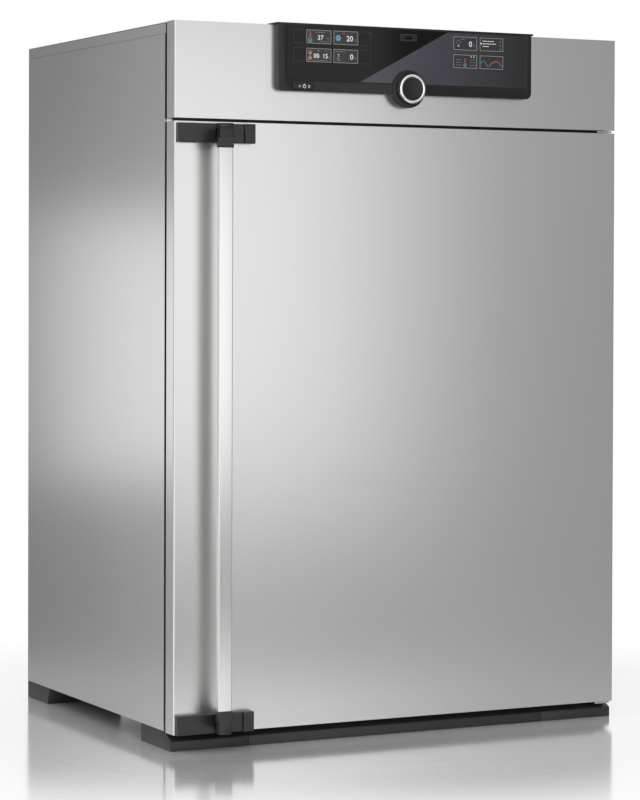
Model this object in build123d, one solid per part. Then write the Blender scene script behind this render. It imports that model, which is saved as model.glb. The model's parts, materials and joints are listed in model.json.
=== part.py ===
from build123d import *
import math
import os

# A laboratory incubator: a steel cabinet with an insulated chamber, an inner glass door, an outer
# door with a full-height turning handle, and a control panel above the door.
# X runs along the width, the front looks along -Y and Z is up from the floor. Millimetres.
# The origin is under the middle of the whole object, handle and exhaust pipe included.

# Cabinet
cabinet_width = 824.0
cabinet_height = 1160.0
cabinet_depth = 645.0  # door face to rear face
handle_reach = 45.0  # door face to the front of the handle
exhaust_reach = 39.0  # rear face to the end of the exhaust pipe
sheet = 1.2  # all folded steel
feet_height = 29.0
flange = 15.0  # folded edges inside the cabinet
fit_gap = 0.2  # between sheets that lie against each other
cover_skirt = 18.6  # fold of the top cover
cover_seam = 0.4  # joint between the top cover and the side panels
cover_lead = 3.0  # top cover ahead of the side panels

# Outer door
door_depth = 30.0
door_seal_gap = 7.7  # back of the door to the front frame
door_bottom = 27.5
door_edge_radius = 3.0
fascia_height = 154.0
fascia_gap = 5.0  # between the door and the fascia
seal_clearance = 0.3

# Chamber, between walls of these thicknesses
side_wall = 92.0
top_wall = 84.0
floor_height = 117.0
rear_wall = 80.0
rebate_depth = 26.0  # recess round the chamber mouth for the glass door
rebate_margin = 25.0
rib_pitch = 90.0
rib_headroom = 100.0  # at least this much over the last rib
rib_start = 60.0  # chamber floor to the middle of the first rib
rib_height = 10.0
rib_depth = 8.0
plenum_depth = 40.0  # air space behind the baffle
baffle_margin = 20.0
grille_pitch = 14.0
grille_slot_height = 7.0
grille_web = 12.0  # solid strip down the middle of the grille
side_slot_count = 6
side_slot_length = 80.0
side_slot_width = 7.0
side_slot_inset = 21.0
mat_thickness = 2.0
mat_margin = 40.0
air_layer = 30.0  # between the rear insulation and the rear panel

# Shelves
shelf_rib_numbers = {"lower": 1, "upper": 4}
shelf_side_gap = 3.0
shelf_setback = 46.0
shelf_rear_gap = 5.0
shelf_bar = 6.0
shelf_wire = 3.0
shelf_wires = 17
shelf_wire_drop = 0.5  # wires under the top of the rim
shelf_brace_width = 4.0
shelf_brace_height = 2.5
shelf_clearance = 0.3

# Glass door
glass_thickness = 5.0
glass_seal_height = 3.7
glass_overlap = 10.0  # glass beyond the chamber mouth
glass_seal_width = 9.0
glass_hinge_offset = 14.0  # pin centre in front of the ledge
glass_hinge_side_gap = 7.0  # pin centre to the wall of the rebate
glass_pin_radius = 3.0
glass_barrel_radius = 6.0
glass_clamp_height = 50.0
glass_clamp_reach = 38.0
glass_hinge_inset = 110.0  # hinge middle from the pane's top or bottom
glass_latch_inset = 22.0  # latch axis from the free edge
glass_latch_reach = 30.0
glass_latch_radius = 15.0
glass_spindle_radius = 4.5
glass_corner_radius = 6.0
glass_knob_gap = 5.0  # pane to the back of the knob
glass_knob_length = 9.0
glass_tongue_width = 12.0
glass_tongue_thickness = 3.0
glass_nut_height = 1.8
glass_nut_rim = 2.5
glass_clamp_thickness = 3.0
glass_ear = 4.0
glass_catch_thickness = 3.0
glass_catch_gap = 3.0  # catch's lip in front of the tongue
glass_catch_lip = 2.0

# Outer door hinges
hinge_inset = 14.0  # pin centre from the door's right edge and from its face
hinge_pin_radius = 4.0
hinge_plate = 3.0
hinge_plate_width = 29.0
hinge_plate_shift = 5.0  # plate's middle to the left of the pin
hinge_plate_ahead = 10.0  # plate in front of the pin
hinge_gap = 1.0  # between the door and each plate
hinge_hole_gap = 0.5
hinge_pin_length = 24.0
bush_radius = 8.0
running_clearance = 0.05

# Handle, lock brackets and latch
handle_inset = 70.5  # middle of the bar from the door's left edge
handle_width = 24.0
handle_thickness = 10.0
handle_wall = 1.5
handle_end_gap = 39.5  # bracket's outer edge to the end of the bar
cap_margin = 1.0  # cap stands out round the bar
cap_height = 16.0
cap_plug = 14.0
pivot_offset = 9.5  # pivot to the right of the bar's middle
pivot_height = 18.0  # pivot in front of the door face
pivot_pin_radius = 4.0
knuckle_radius = 13.0
knuckle_height = 23.0
bracket_inset = 3.0
bracket_length = 132.0
bracket_height = 31.0
bracket_thickness = 11.0
bracket_block_width = 19.0
bracket_block_depth = 16.0
bracket_boss_height = 8.0
turning_gap = 1.3  # round and over the knuckle
crank_radius = 21.5  # pivot to the end of the driving finger
crank_width = 6.0
crank_height = 10.0
crank_room = 1.5  # round the finger in each sheet, and over and under it
latch_travel = 9.1
latch_thickness = 3.0
latch_height = 20.0
latch_play = 0.7
hook_width = 8.0
hook_lip = 6.0
hook_height = 14.0
hook_slot_gap = 1.5
hook_reach = 7.0  # hook's tip behind the front frame's sheet
hook_grip = 1.0  # hook's lip behind the same sheet
hook_bevel = 3.0
striker_thickness = 3.0
striker_margin = 6.0
striker_end = 12.0
gasket_width = 12.0
gasket_margin = 8.0  # chamber recess to the gasket

# Control panel
cockpit_width = 470.0
cockpit_height = 109.5
cockpit_rise = 3.0  # above the cabinet's top
cockpit_proud = 15.0
cockpit_wall = 6.0
cockpit_inset = 10.0  # rear part inside the front outline
cockpit_behind = 24.0  # rear part behind the fascia face
cockpit_corner = 10.0
cockpit_lip_depth = 22.0
cockpit_lip_margin = 4.0
panel_glass_thickness = 2.5
panel_glass_width = 444.0
panel_glass_top_margin = 4.0
panel_glass_bottom_margin = 18.0
display_width = 98.0
display_height = 56.0
display_left = -140.0  # middle of the left display
display_right = 132.0
display_top_margin = 8.0
usb_width = 30.0
usb_height = 11.0
usb_depth = 14.0
usb_mouth_width = 13.0
usb_mouth_height = 5.2
usb_tongue = 2.0
board_width = 400.0
board_height = 70.0
board_thickness = 1.6
board_post_radius = 4.0
board_post_inset = 8.0
board_setback = 8.0  # board in front of the rear box's edge
button_width = 37.0
button_height = 11.0
button_middle = -193.0
button_rise = 8.5  # cockpit's lower edge to the button's middle
button_proud = 1.0
button_depth = 9.0
button_gap = 0.3
button_room = 8.0  # pocket behind the cockpit's front wall
button_edge = 0.8

# Knob
knob_rise = 9.0  # cockpit's lower edge to the knob's axis
collar_radius = 30.5
collar_proud = 17.0
knob_ring_radius = 23.75
knob_ring_bore = 19.0
knob_travel_gap = 2.2
knob_front = 32.0  # ring in front of the fascia face
knob_dish = 1.5
spindle_radius = 3.0
plunger_radius = 4.5
encoder_size = 16.0
encoder_depth = 10.0
encoder_floor = 1.0  # left behind the plunger's bore
plunger_stroke = 2.0  # plunger's end to the bore's floor
plunger_front = 4.0  # plunger in front of the encoder
spindle_grip = 9.0  # spindle inside the knob

# Fan, exhaust and sockets
fan_radius = 90.0
fan_eye_radius = 62.0
fan_width = 24.0
fan_blades = 18
fan_blade_thickness = 1.4
fan_blade_inset = 4.0  # blade's inner edge outside the eye
fan_blade_end_gap = 1.0
fan_blade_sweep = 24.0  # degrees from a blade's root to its tip
fan_blade_bow = 3.0
fan_ring_band = 6.0  # eye to the front ring's bore
fan_disc = 1.6
fan_hub_radius = 14.0
fan_shaft_radius = 4.0
fan_shaft_length = 60.0
fan_front_gap = 5.0
motor_radius = 41.0
motor_length = 55.0
motor_plate = 2.0
motor_plate_size = 110.0
motor_plate_corner = 8.0
motor_edge = 6.0
shaft_end_gap = 2.0
exhaust_radius = 30.0  # spigot behind the cabinet
exhaust_body_radius = 32.0  # pipe inside the cabinet
exhaust_shoulder = 1.0  # end of the wider pipe behind the rear face
exhaust_wall = 3.0
exhaust_side = -170.0
exhaust_drop = 70.0  # chamber ceiling to the pipe's axis
exhaust_flange_radius = 40.0
flap_thickness = 2.0
flap_gap = 0.4
flap_shaft_radius = 2.5
flap_setback = 42.0  # chamber's rear wall to the flap's axis
flap_motor_size = 34.0
inlet_middle = 250.0
inlet_drop = 90.0  # cabinet top to the sockets' middle
inlet_width = 48.0
inlet_height = 28.0
inlet_mouth_width = 24.5
inlet_mouth_height = 17.0
inlet_mouth_depth = 18.0
network_middle = 180.0
network_size = 22.0
network_mouth = 12.0
network_mouth_depth = 14.0
socket_proud = 2.0
socket_floor = 4.0
inlet_pin_width = 2.0
inlet_pin_height = 4.0
inlet_pin_setback = 3.0
inlet_pins = ((-7.0, -2.0), (0.0, 2.0), (7.0, -2.0))

# Power electronics over the chamber
power_middle = 180.0
power_rear_gap = 153.0  # rear panel to the tray
power_tray_width = 240.0
power_tray_depth = 170.0
power_margin = 15.0
supply_width = 115.0
supply_height = 48.0
supply_corner = 3.0
relay_width = 80.0
relay_height = 28.0

# Feet and plinth
foot_width = 137.0
foot_front_setback = 9.4
foot_nose_height = 15.5
foot_slope_setback = 35.0
foot_length = 120.0
foot_taper = 11.0
plinth_depth = 40.0
foot_joint = 0.4
rear_foot_length = 107.0

# Small fixings
screw_head_radius = 4.5
screw_head_height = 2.0
screws_per_side = 4
sensor_radius = 2.0
sensor_length = 32.0
sensor_base_radius = 6.0
sensor_base = 3.0
sensor_drop = 225.0  # chamber ceiling to the sensors
sensor_side = 112.5  # chamber's middle to the pair's middle
sensor_pitch = 45.0

# Places that follow from the sizes above
half_width = cabinet_width / 2
front_end = -(handle_reach + cabinet_depth + exhaust_reach) / 2
door_face = front_end + handle_reach
rear_face = door_face + cabinet_depth
door_back = door_face + door_depth
side_front = door_back + door_seal_gap
fascia_bottom = cabinet_height - fascia_height
door_top = fascia_bottom - fascia_gap
base_top = feet_height + sheet
cover_bottom = cabinet_height - cover_skirt
panel_top = cover_bottom - cover_seam
inner_half = half_width - sheet - fit_gap

ledge = side_front + rebate_depth
liner_front = ledge + sheet
liner_rear = rear_face - rear_wall
chamber_half = half_width - side_wall
chamber_floor = floor_height
chamber_top = door_top - top_wall
chamber_middle = (chamber_floor + chamber_top) / 2
rib_room = chamber_top - chamber_floor - rib_start - rib_headroom
rib_count = math.floor(rib_room / rib_pitch) + 1
baffle_face = liner_rear - plenum_depth
rebate_half = chamber_half + rebate_margin
rebate_bottom = chamber_floor - rebate_margin
rebate_top = chamber_top + rebate_margin

gasket_half = rebate_half + gasket_margin + gasket_width
hook_middle = -(half_width - sheet + gasket_half) / 2
pivot_x = -half_width + handle_inset + pivot_offset
pivot_y = door_face - pivot_height
bar_x = -half_width + handle_inset
bar_y = door_face - handle_reach + cap_margin + handle_thickness / 2
upper_pivot_z = door_top - bracket_inset - bracket_boss_height - turning_gap - knuckle_height / 2
door_middle = (door_bottom + door_top) / 2
handle_middle = (door_bottom + door_top - bracket_inset) / 2

cockpit_half = cockpit_width / 2
cockpit_top = cabinet_height + cockpit_rise
cockpit_bottom = cockpit_top - cockpit_height
cockpit_front = door_face - cockpit_proud
cockpit_inner_front = cockpit_front + cockpit_wall
knob_z = cockpit_bottom + knob_rise
board_front = door_face + cockpit_behind - board_setback
spindle_end = board_front - encoder_floor - plunger_stroke
exhaust_z = chamber_top - exhaust_drop
flap_y = liner_rear + sheet + flap_setback
socket_z = cabinet_height - inlet_drop
rear_panel_outside = rear_face - sheet
rear_panel_inside = rear_face - 2 * sheet

parts = {}


def block(x0, x1, y0, y1, z0, z1):
    """A box between two corners."""
    middle = Pos((x0 + x1) / 2, (y0 + y1) / 2, (z0 + z1) / 2)
    return middle * Box(x1 - x0, y1 - y0, z1 - z0)


def upright(x, y, z0, z1, radius):
    """A cylinder along Z."""
    return Pos(x, y, (z0 + z1) / 2) * Cylinder(radius, z1 - z0)


def along_y(x, z, y0, y1, radius):
    """A cylinder along Y."""
    return Pos(x, (y0 + y1) / 2, z) * Rot(90, 0, 0) * Cylinder(radius, y1 - y0)


def along_x(y, z, x0, x1, radius):
    """A cylinder along X."""
    return Pos((x0 + x1) / 2, y, z) * Rot(0, 90, 0) * Cylinder(radius, x1 - x0)


def ring_y(half, z0, z1, band, y0, y1):
    """A flat rectangular frame that faces the front, inside its outer edges."""
    outer = block(-half, half, y0, y1, z0, z1)
    return outer - block(-half + band, half - band, y0 - 1, y1 + 1, z0 + band, z1 - band)


def rear_tray(half, y0, y1, z0, z1, radius):
    """A folded sheet tray, open at the back, with rounded front corners."""
    outer = block(-half, half, y0, y1, z0, z1)
    outer = fillet(outer.edges().filter_by(Axis.Z).group_by(Axis.Y)[0], radius)
    inner = block(-half + sheet, half - sheet, y0 + sheet, y1 + 1, z0 + sheet, z1 - sheet)
    if radius > sheet:
        inner = fillet(inner.edges().filter_by(Axis.Z).group_by(Axis.Y)[0], radius - sheet)
    return outer - inner


def mirror_x(shape):
    return mirror(shape, about=Plane.YZ)


def flipped(shape, middle=handle_middle):
    """The copy at the other end of the handle, or about another height."""
    return mirror(shape, about=Plane.XY.offset(middle))


def profile_along_x(points, x0, x1):
    """A prism along X from corner points in Y and Z."""
    face = make_face(Plane.YZ * Polyline(*points, close=True))
    return Pos(x0, 0, 0) * extrude(face, x1 - x0, dir=(1, 0, 0))


def side_panel():
    """The right-hand side, folded inwards at the rear and along the top."""
    skin = block(half_width - sheet, half_width, side_front, rear_face, feet_height, panel_top)
    rear_fold = block(
        half_width - flange, half_width, rear_panel_outside, rear_face, feet_height, panel_top
    )
    top_fold = block(
        half_width - flange, half_width, ledge, rear_face, panel_top - sheet, panel_top
    )
    return skin + rear_fold + top_fold


def top_cover():
    """The folded lid, open underneath."""
    y0 = side_front - cover_lead
    outer = block(-half_width, half_width, y0, rear_face, cover_bottom, cabinet_height)
    outer = fillet(outer.edges().filter_by(Axis.Y).group_by(Axis.Z)[-1], door_edge_radius)
    inner = block(
        -half_width + sheet, half_width - sheet, y0 + sheet, rear_face - sheet,
        cover_bottom - 1, cabinet_height - sheet
    )
    inner = fillet(inner.edges().filter_by(Axis.Y).group_by(Axis.Z)[-1], door_edge_radius - sheet)
    return outer - inner


def rear_panel():
    """The removable back, with its holes."""
    panel = block(
        -inner_half, inner_half, rear_panel_inside, rear_panel_outside, base_top, panel_top - sheet - fit_gap
    )
    y0, y1 = rear_panel_inside - 1, rear_panel_outside + 1
    panel -= along_y(exhaust_side, exhaust_z, y0, y1, exhaust_body_radius + fit_gap)
    for middle, width, height in (
        (inlet_middle, inlet_width, inlet_height),
        (network_middle, network_size, network_size),
    ):
        w, h = width / 2 - socket_proud + fit_gap, height / 2 - socket_proud + fit_gap
        panel -= block(middle - w, middle + w, y0, y1, socket_z - h, socket_z + h)
    return panel


def base_panel():
    """The floor of the cabinet, folded up along its sides."""
    outer = block(-inner_half, inner_half, side_front, rear_panel_inside, feet_height, feet_height + flange)
    inner = block(
        -inner_half + sheet, inner_half - sheet, side_front - 1, rear_panel_inside + 1,
        base_top, feet_height + flange + 1
    )
    return outer - inner


def hook_slot(y0, y1, z_middle):
    """The room that a hook needs in the sheet that it passes."""
    slot_half = (hook_width + hook_lip + latch_travel) / 2 - hook_lip / 2 + hook_slot_gap
    h = hook_height / 2 + hook_slot_gap
    return block(hook_middle - slot_half, hook_middle + slot_half, y0, y1, z_middle - h, z_middle + h)


def hook_levels():
    """The middle heights of the two hooks."""
    return upper_pivot_z, 2 * handle_middle - upper_pivot_z


def front_frame():
    """The cabinet's front with the recess for the glass door and the ledge round the chamber."""
    clear = inner_half - sheet - fit_gap
    frame = block(-clear, clear, side_front, side_front + flange, base_top, panel_top - sheet)
    frame -= block(
        -clear + sheet, clear - sheet, side_front + sheet, side_front + flange + 1,
        base_top + sheet, panel_top - 2 * sheet
    )
    frame += block(
        -rebate_half - sheet, rebate_half + sheet, side_front, liner_front,
        rebate_bottom - sheet, rebate_top + sheet
    )
    frame -= block(-rebate_half, rebate_half, side_front - 1, ledge, rebate_bottom, rebate_top)
    frame -= block(
        -chamber_half, chamber_half, side_front - 1, liner_front + 1, chamber_floor, chamber_top
    )
    for level in hook_levels():
        frame -= hook_slot(side_front - 1, side_front + sheet + 1, level)
    return frame


def fascia_panel():
    """The tray above the door, with the window for the control panel."""
    fascia = rear_tray(half_width, door_face, door_back, fascia_bottom, cabinet_height, door_edge_radius)
    w = cockpit_half - cockpit_inset + fit_gap
    fascia -= block(
        -w, w, door_face - 1, door_face + sheet + 1,
        cockpit_bottom + cockpit_inset - fit_gap, cabinet_height - cockpit_inset + fit_gap
    )
    return fascia - encoder_box(fit_gap, door_face - 1, door_face + sheet + 1)


def fascia_mounts():
    """Two channels that carry the fascia on the front frame."""
    z0, z1 = fascia_bottom + 2 * sheet, panel_top - 2 * flange
    x0 = (half_width + cockpit_half) / 2
    width = 3 * sheet + flange
    channel = block(x0, x0 + width, door_face + sheet, side_front, z0, z1)
    channel -= block(x0 + sheet, x0 + width + 1, door_face + 2 * sheet, side_front - sheet, z0 - 1, z1 + 1)
    return Compound(children=[channel, mirror_x(channel)])


def liner():
    """The chamber, welded from sheet, with a bore for the fan shaft and one for the exhaust."""
    outer = block(
        -chamber_half - sheet, chamber_half + sheet, liner_front, liner_rear + sheet,
        chamber_floor - sheet, chamber_top + sheet
    )
    chamber = outer - block(
        -chamber_half, chamber_half, liner_front - 1, liner_rear, chamber_floor, chamber_top
    )
    y0, y1 = liner_rear - 1, liner_rear + sheet + 1
    chamber -= along_y(0, chamber_middle, y0, y1, fan_shaft_radius + 1)
    chamber -= along_y(exhaust_side, exhaust_z, y0, y1, exhaust_radius - exhaust_wall)
    return chamber


def shelf_ribs():
    """Embossed ribs, flat on top and sloping underneath, down both chamber walls."""
    ribs = []
    for number in range(rib_count):
        top = rib_top(number)
        points = [
            (chamber_half, top),
            (chamber_half - rib_depth, top),
            (chamber_half - rib_depth, top - rib_height + rib_depth / 4),
            (chamber_half, top - rib_height - rib_depth / 4),
        ]
        face = make_face(Plane.XZ * Polyline(*points, close=True))
        length = baffle_face - liner_front - shelf_rear_gap - rib_depth
        rib = extrude(face, length, dir=(0, 1, 0))
        rib = Pos(0, liner_front + rib_depth, 0) * rib
        ribs += [rib, mirror_x(rib)]
    return Compound(children=ribs)


def rib_top(number):
    return chamber_floor + rib_start + number * rib_pitch + rib_height / 2


def insulation():
    """Mineral wool round the chamber, with room for the motor and the exhaust."""
    wool = block(
        -inner_half + flange, inner_half - flange, liner_front + fit_gap, rear_panel_inside - air_layer,
        base_top, chamber_top + top_wall - flange
    )
    spare = sheet + mat_thickness + fit_gap
    wool -= block(
        -chamber_half - spare, chamber_half + spare, liner_front - 1, liner_rear + sheet + fit_gap,
        chamber_floor - spare, chamber_top + spare
    )
    y0, y1 = liner_rear, rear_panel_inside
    wool -= along_y(0, chamber_middle, y0, y1, motor_plate_size / 2 * math.sqrt(2) + 1)
    wool -= along_y(exhaust_side, exhaust_z, y0, y1, exhaust_flange_radius + 1)
    m = flap_motor_size
    x0 = exhaust_side - exhaust_body_radius - m - 1
    wool -= block(x0, exhaust_side, y0, y1, exhaust_z - m / 2 - 1, exhaust_z + m / 2 + 1)
    return wool


def heating_mats():
    """Four flat heaters on the outside of the chamber."""
    y0, y1 = liner_front + mat_margin, liner_rear - mat_margin
    x0 = chamber_half + sheet
    side = block(x0, x0 + mat_thickness, y0, y1, chamber_floor + mat_margin, chamber_top - mat_margin)
    w = chamber_half - mat_margin
    top = chamber_top + sheet
    floor = chamber_floor - sheet
    over = block(-w, w, y0, y1, top, top + mat_thickness)
    under = block(-w, w, y0, y1, floor - mat_thickness, floor)
    return Compound(children=[side, mirror_x(side), over, under])


def air_baffle():
    """The slotted pan in front of the fan: a round grille in the middle and slots down both sides."""
    half = chamber_half - baffle_margin
    z0, z1 = chamber_floor + baffle_margin, chamber_top - baffle_margin
    pan = block(-half, half, baffle_face, liner_rear, z0, z1)
    pan -= block(-half + sheet, half - sheet, baffle_face + sheet, liner_rear + 1, z0 + sheet, z1 - sheet)
    cutters = []
    web = grille_web / 2
    h = grille_slot_height / 2
    rows = int(fan_eye_radius / grille_pitch)
    for row in range(-rows, rows + 1):
        level = row * grille_pitch
        reach = math.sqrt(fan_eye_radius ** 2 - level ** 2)
        z = chamber_middle + level
        for x0, x1 in ((-reach, -web), (web, reach)):
            cutters.append(block(x0, x1, baffle_face - 1, baffle_face + sheet + 1, z - h, z + h))
    pitch = (z1 - z0) / side_slot_count
    x1 = half - side_slot_inset
    h = side_slot_length / 2
    for number in range(side_slot_count):
        z = z0 + (number + 0.5) * pitch
        slot = block(x1 - side_slot_width, x1, baffle_face - 1, baffle_face + sheet + 1, z - h, z + h)
        cutters += [slot, mirror_x(slot)]
    pan -= cutters
    return pan


def temperature_sensors():
    """Two probes on the baffle, high up in the chamber."""
    probes = []
    z = chamber_top - sensor_drop
    for x in (sensor_side - sensor_pitch / 2, sensor_side + sensor_pitch / 2):
        base = along_y(x, z, baffle_face - sensor_base, baffle_face, sensor_base_radius)
        probe = along_y(x, z, baffle_face - sensor_length, baffle_face - sensor_base, sensor_radius)
        probe = fillet(probe.faces().sort_by(Axis.Y)[0].edges(), sensor_radius * 0.9)
        probes.append(base + probe)
    return Compound(children=probes)


def fan_motor():
    """The motor on its square plate behind the chamber, with a bore for the shaft."""
    y0 = liner_rear + sheet
    h = motor_plate_size / 2
    plate = block(-h, h, y0, y0 + motor_plate, chamber_middle - h, chamber_middle + h)
    plate = fillet(plate.edges().filter_by(Axis.Y), motor_plate_corner)
    body = along_y(0, chamber_middle, y0 + motor_plate, y0 + motor_plate + motor_length, motor_radius)
    body = fillet(body.faces().sort_by(Axis.Y)[-1].edges(), motor_edge)
    bore = along_y(0, chamber_middle, y0 - 1, y0 + fan_shaft_length, fan_shaft_radius + running_clearance)
    return plate + body - bore


def fan_wheel():
    """A centrifugal wheel: back disc, curved blades, front ring, hub and shaft."""
    y_back = baffle_face + sheet + fan_front_gap + fan_width
    middle = Pos(0, y_back, chamber_middle) * Rot(90, 0, 0)
    wheel = Cylinder(fan_radius, fan_disc, align=(Align.CENTER, Align.CENTER, Align.MIN))
    wheel += Cylinder(fan_hub_radius, fan_width, align=(Align.CENTER, Align.CENTER, Align.MIN))
    front = Cylinder(fan_radius, fan_disc, align=(Align.CENTER, Align.CENTER, Align.MAX))
    front -= Cylinder(fan_eye_radius + fan_ring_band, fan_disc, align=(Align.CENTER, Align.CENTER, Align.MAX))
    wheel += Pos(0, 0, fan_width) * front
    start = Vector(fan_eye_radius + fan_blade_inset, 0)
    end = Vector(fan_radius - fan_blade_end_gap, 0).rotate(Axis.Z, fan_blade_sweep)
    across = (end - start).normalized().rotate(Axis.Z, 90)
    crown = (start + end) * 0.5 + across * fan_blade_bow
    shift = across * fan_blade_thickness
    edge = ThreePointArc(start, crown, end)
    back_edge = ThreePointArc(start + shift, crown + shift, end + shift)
    outline = Curve() + [edge, Line(end, end + shift), back_edge, Line(start + shift, start)]
    blade = extrude(make_face(outline), fan_width - fan_disc)
    for number in range(fan_blades):
        wheel += Rot(0, 0, number * 360 / fan_blades) * blade
    shaft_end = liner_rear + sheet + fan_shaft_length - shaft_end_gap
    shaft = along_y(0, chamber_middle, y_back, shaft_end, fan_shaft_radius)
    return middle * wheel + shaft


def exhaust_pipe():
    """The exhaust with its flange on the chamber, and cross bores for the flap's shaft."""
    y0 = liner_rear + sheet
    y1 = rear_face + exhaust_reach
    pipe = along_y(exhaust_side, exhaust_z, y0, rear_face + exhaust_shoulder, exhaust_body_radius)
    pipe += along_y(exhaust_side, exhaust_z, rear_face, y1, exhaust_radius)
    pipe += along_y(exhaust_side, exhaust_z, y0, y0 + motor_plate, exhaust_flange_radius)
    pipe -= along_y(exhaust_side, exhaust_z, y0 - 1, y1 + 1, exhaust_radius - exhaust_wall)
    reach = exhaust_body_radius + 1
    bore = flap_shaft_radius + running_clearance
    pipe -= along_x(flap_y, exhaust_z, exhaust_side - reach, exhaust_side + reach, bore)
    return pipe


def air_flap():
    """The round flap on its shaft, closed across the pipe."""
    radius = exhaust_radius - exhaust_wall - flap_gap
    disc = along_y(exhaust_side, exhaust_z, flap_y - flap_thickness / 2, flap_y + flap_thickness / 2, radius)
    x0 = exhaust_side - exhaust_body_radius - flap_motor_size / 2
    x1 = exhaust_side + exhaust_body_radius - flap_gap
    return disc + along_x(flap_y, exhaust_z, x0, x1, flap_shaft_radius)


def flap_motor():
    """The small gear motor against the side of the pipe."""
    m = flap_motor_size
    x1 = exhaust_side
    x0 = x1 - exhaust_body_radius - m
    body = block(x0, x1, flap_y - m / 2, flap_y + m / 2, exhaust_z - m / 2, exhaust_z + m / 2)
    body -= along_y(exhaust_side, exhaust_z, flap_y - m, flap_y + m, exhaust_body_radius + fit_gap)
    bore = flap_shaft_radius + running_clearance
    x0 = exhaust_side - exhaust_body_radius - m / 2 - 1
    return body - along_x(flap_y, exhaust_z, x0, exhaust_side, bore)


def socket(middle, width, height, mouth_width, mouth_height, mouth_depth):
    """A panel socket: a flange outside, a body inside and a mouth to the rear."""
    w, h = width / 2, height / 2
    y1 = rear_panel_outside + socket_proud
    flange_plate = block(middle - w, middle + w, rear_panel_outside, y1, socket_z - h, socket_z + h)
    flange_plate = fillet(flange_plate.edges().filter_by(Axis.Y), 2)
    w, h = w - socket_proud, h - socket_proud
    body = block(
        middle - w, middle + w, y1 - mouth_depth - socket_floor, rear_panel_outside, socket_z - h, socket_z + h
    )
    w, h = mouth_width / 2, mouth_height / 2
    mouth = block(middle - w, middle + w, y1 - mouth_depth, y1 + 1, socket_z - h, socket_z + h)
    return flange_plate + body - mouth


def mains_inlet():
    """The mains inlet with its three flat pins."""
    inlet = socket(inlet_middle, inlet_width, inlet_height, inlet_mouth_width, inlet_mouth_height, inlet_mouth_depth)
    y0 = rear_panel_outside + socket_proud - inlet_mouth_depth
    y1 = y0 + inlet_mouth_depth - inlet_pin_setback
    w, h = inlet_pin_width / 2, inlet_pin_height / 2
    for dx, dz in inlet_pins:
        x, z = inlet_middle + dx, socket_z + dz
        inlet += block(x - w, x + w, y0 - 1, y1, z - h, z + h)
    return inlet


def network_socket():
    return socket(network_middle, network_size, network_size, network_mouth, network_mouth, network_mouth_depth)


def foot_outline(length):
    """Side view of a front foot or the plinth: nose, slope and flat top."""
    y0 = door_face + foot_front_setback
    return [
        (y0, 0),
        (y0, foot_nose_height),
        (door_face + foot_slope_setback, feet_height),
        (y0 + length, feet_height),
        (y0 + length, 0),
    ]


def hinge_plate_room():
    """The pocket in a foot for the lower hinge plate."""
    x0 = half_width - hinge_inset - hinge_plate_shift - hinge_plate_width / 2 - 1
    z0 = door_bottom - hinge_gap - hinge_plate - fit_gap
    return block(x0, half_width + 1, door_face - 1, side_front + 3 * flange + 1, z0, feet_height + 1)


def front_feet():
    right = profile_along_x(foot_outline(foot_length), half_width - foot_width, half_width)
    left = mirror_x(right)
    return Compound(children=[left, right - hinge_plate_room()])


def front_plinth():
    x = half_width - foot_width - foot_joint
    return profile_along_x(foot_outline(plinth_depth), -x, x)


def rear_feet():
    y0 = rear_face - rear_foot_length
    points = [
        (y0 + foot_taper, 0),
        (y0, feet_height),
        (rear_face, feet_height),
        (rear_face, 0),
    ]
    right = profile_along_x(points, half_width - foot_width, half_width)
    return Compound(children=[mirror_x(right), right])


def hinge_pin_place():
    return half_width - hinge_inset, door_face + hinge_inset


def upper_hinge():
    """A bent plate over the door, with the pin that hangs from it."""
    x, y = hinge_pin_place()
    z0 = door_top + hinge_gap
    x0 = x - hinge_plate_shift - hinge_plate_width / 2
    x1 = x0 + hinge_plate_width
    plate = block(x0, x1, y - hinge_plate_ahead, side_front, z0, z0 + hinge_plate)
    tab = block(x0, x1, side_front - hinge_plate, side_front, z0, fascia_bottom + 2 * flange)
    return plate + tab + upright(x, y, z0 - hinge_pin_length, z0, hinge_pin_radius)


def lower_hinge():
    """A plate under the door, screwed to the cabinet's floor, with the pin that stands on it."""
    x, y = hinge_pin_place()
    z1 = door_bottom - hinge_gap
    x0 = x - hinge_plate_shift - hinge_plate_width / 2
    x1 = x0 + hinge_plate_width
    plate = block(x0, x1, y - hinge_plate_ahead, side_front + 3 * flange, z1 - hinge_plate, z1)
    pad = block(x0, x1, side_front + flange, side_front + 3 * flange, z1, feet_height)
    return plate + pad + upright(x, y, z1, z1 + hinge_pin_length, hinge_pin_radius)


def door_bushes():
    """Bearing bushes inside the door's folded ends."""
    x, y = hinge_pin_place()
    z1 = door_top - sheet
    bush = upright(x, y, z1 - hinge_pin_length, z1, bush_radius)
    bush -= upright(x, y, z1 - hinge_pin_length - 1, z1 + 1, hinge_pin_radius + running_clearance)
    return Compound(children=[bush, flipped(bush, door_middle)])


def crank_slot(y0, y1, level):
    """The room that the driving finger needs in a sheet."""
    h = crank_height / 2 + crank_room
    x0 = pivot_x - latch_travel - crank_width / 2 - crank_room
    x1 = pivot_x + crank_width / 2 + crank_room
    return block(x0, x1, y0, y1, level - h, level + h)


def door_outer_panel():
    """The door's outer tray."""
    door = rear_tray(half_width, door_face, door_back, door_bottom, door_top, door_edge_radius)
    x, y = hinge_pin_place()
    for z in (door_bottom, door_top):
        door -= upright(x, y, z - 2 * sheet, z + 2 * sheet, hinge_pin_radius + hinge_hole_gap)
    for level in hook_levels():
        door -= crank_slot(door_face - 1, door_face + sheet + 1, level)
    return door


def door_inner_panel():
    """The door's inside sheet, with the slots that the hooks pass."""
    half = half_width - sheet - fit_gap
    panel = block(-half, half, door_back - sheet, door_back, door_bottom + sheet + fit_gap, door_top - sheet - fit_gap)
    for level in hook_levels():
        panel -= hook_slot(door_back - sheet - 1, door_back + 1, level)
    return panel


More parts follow.
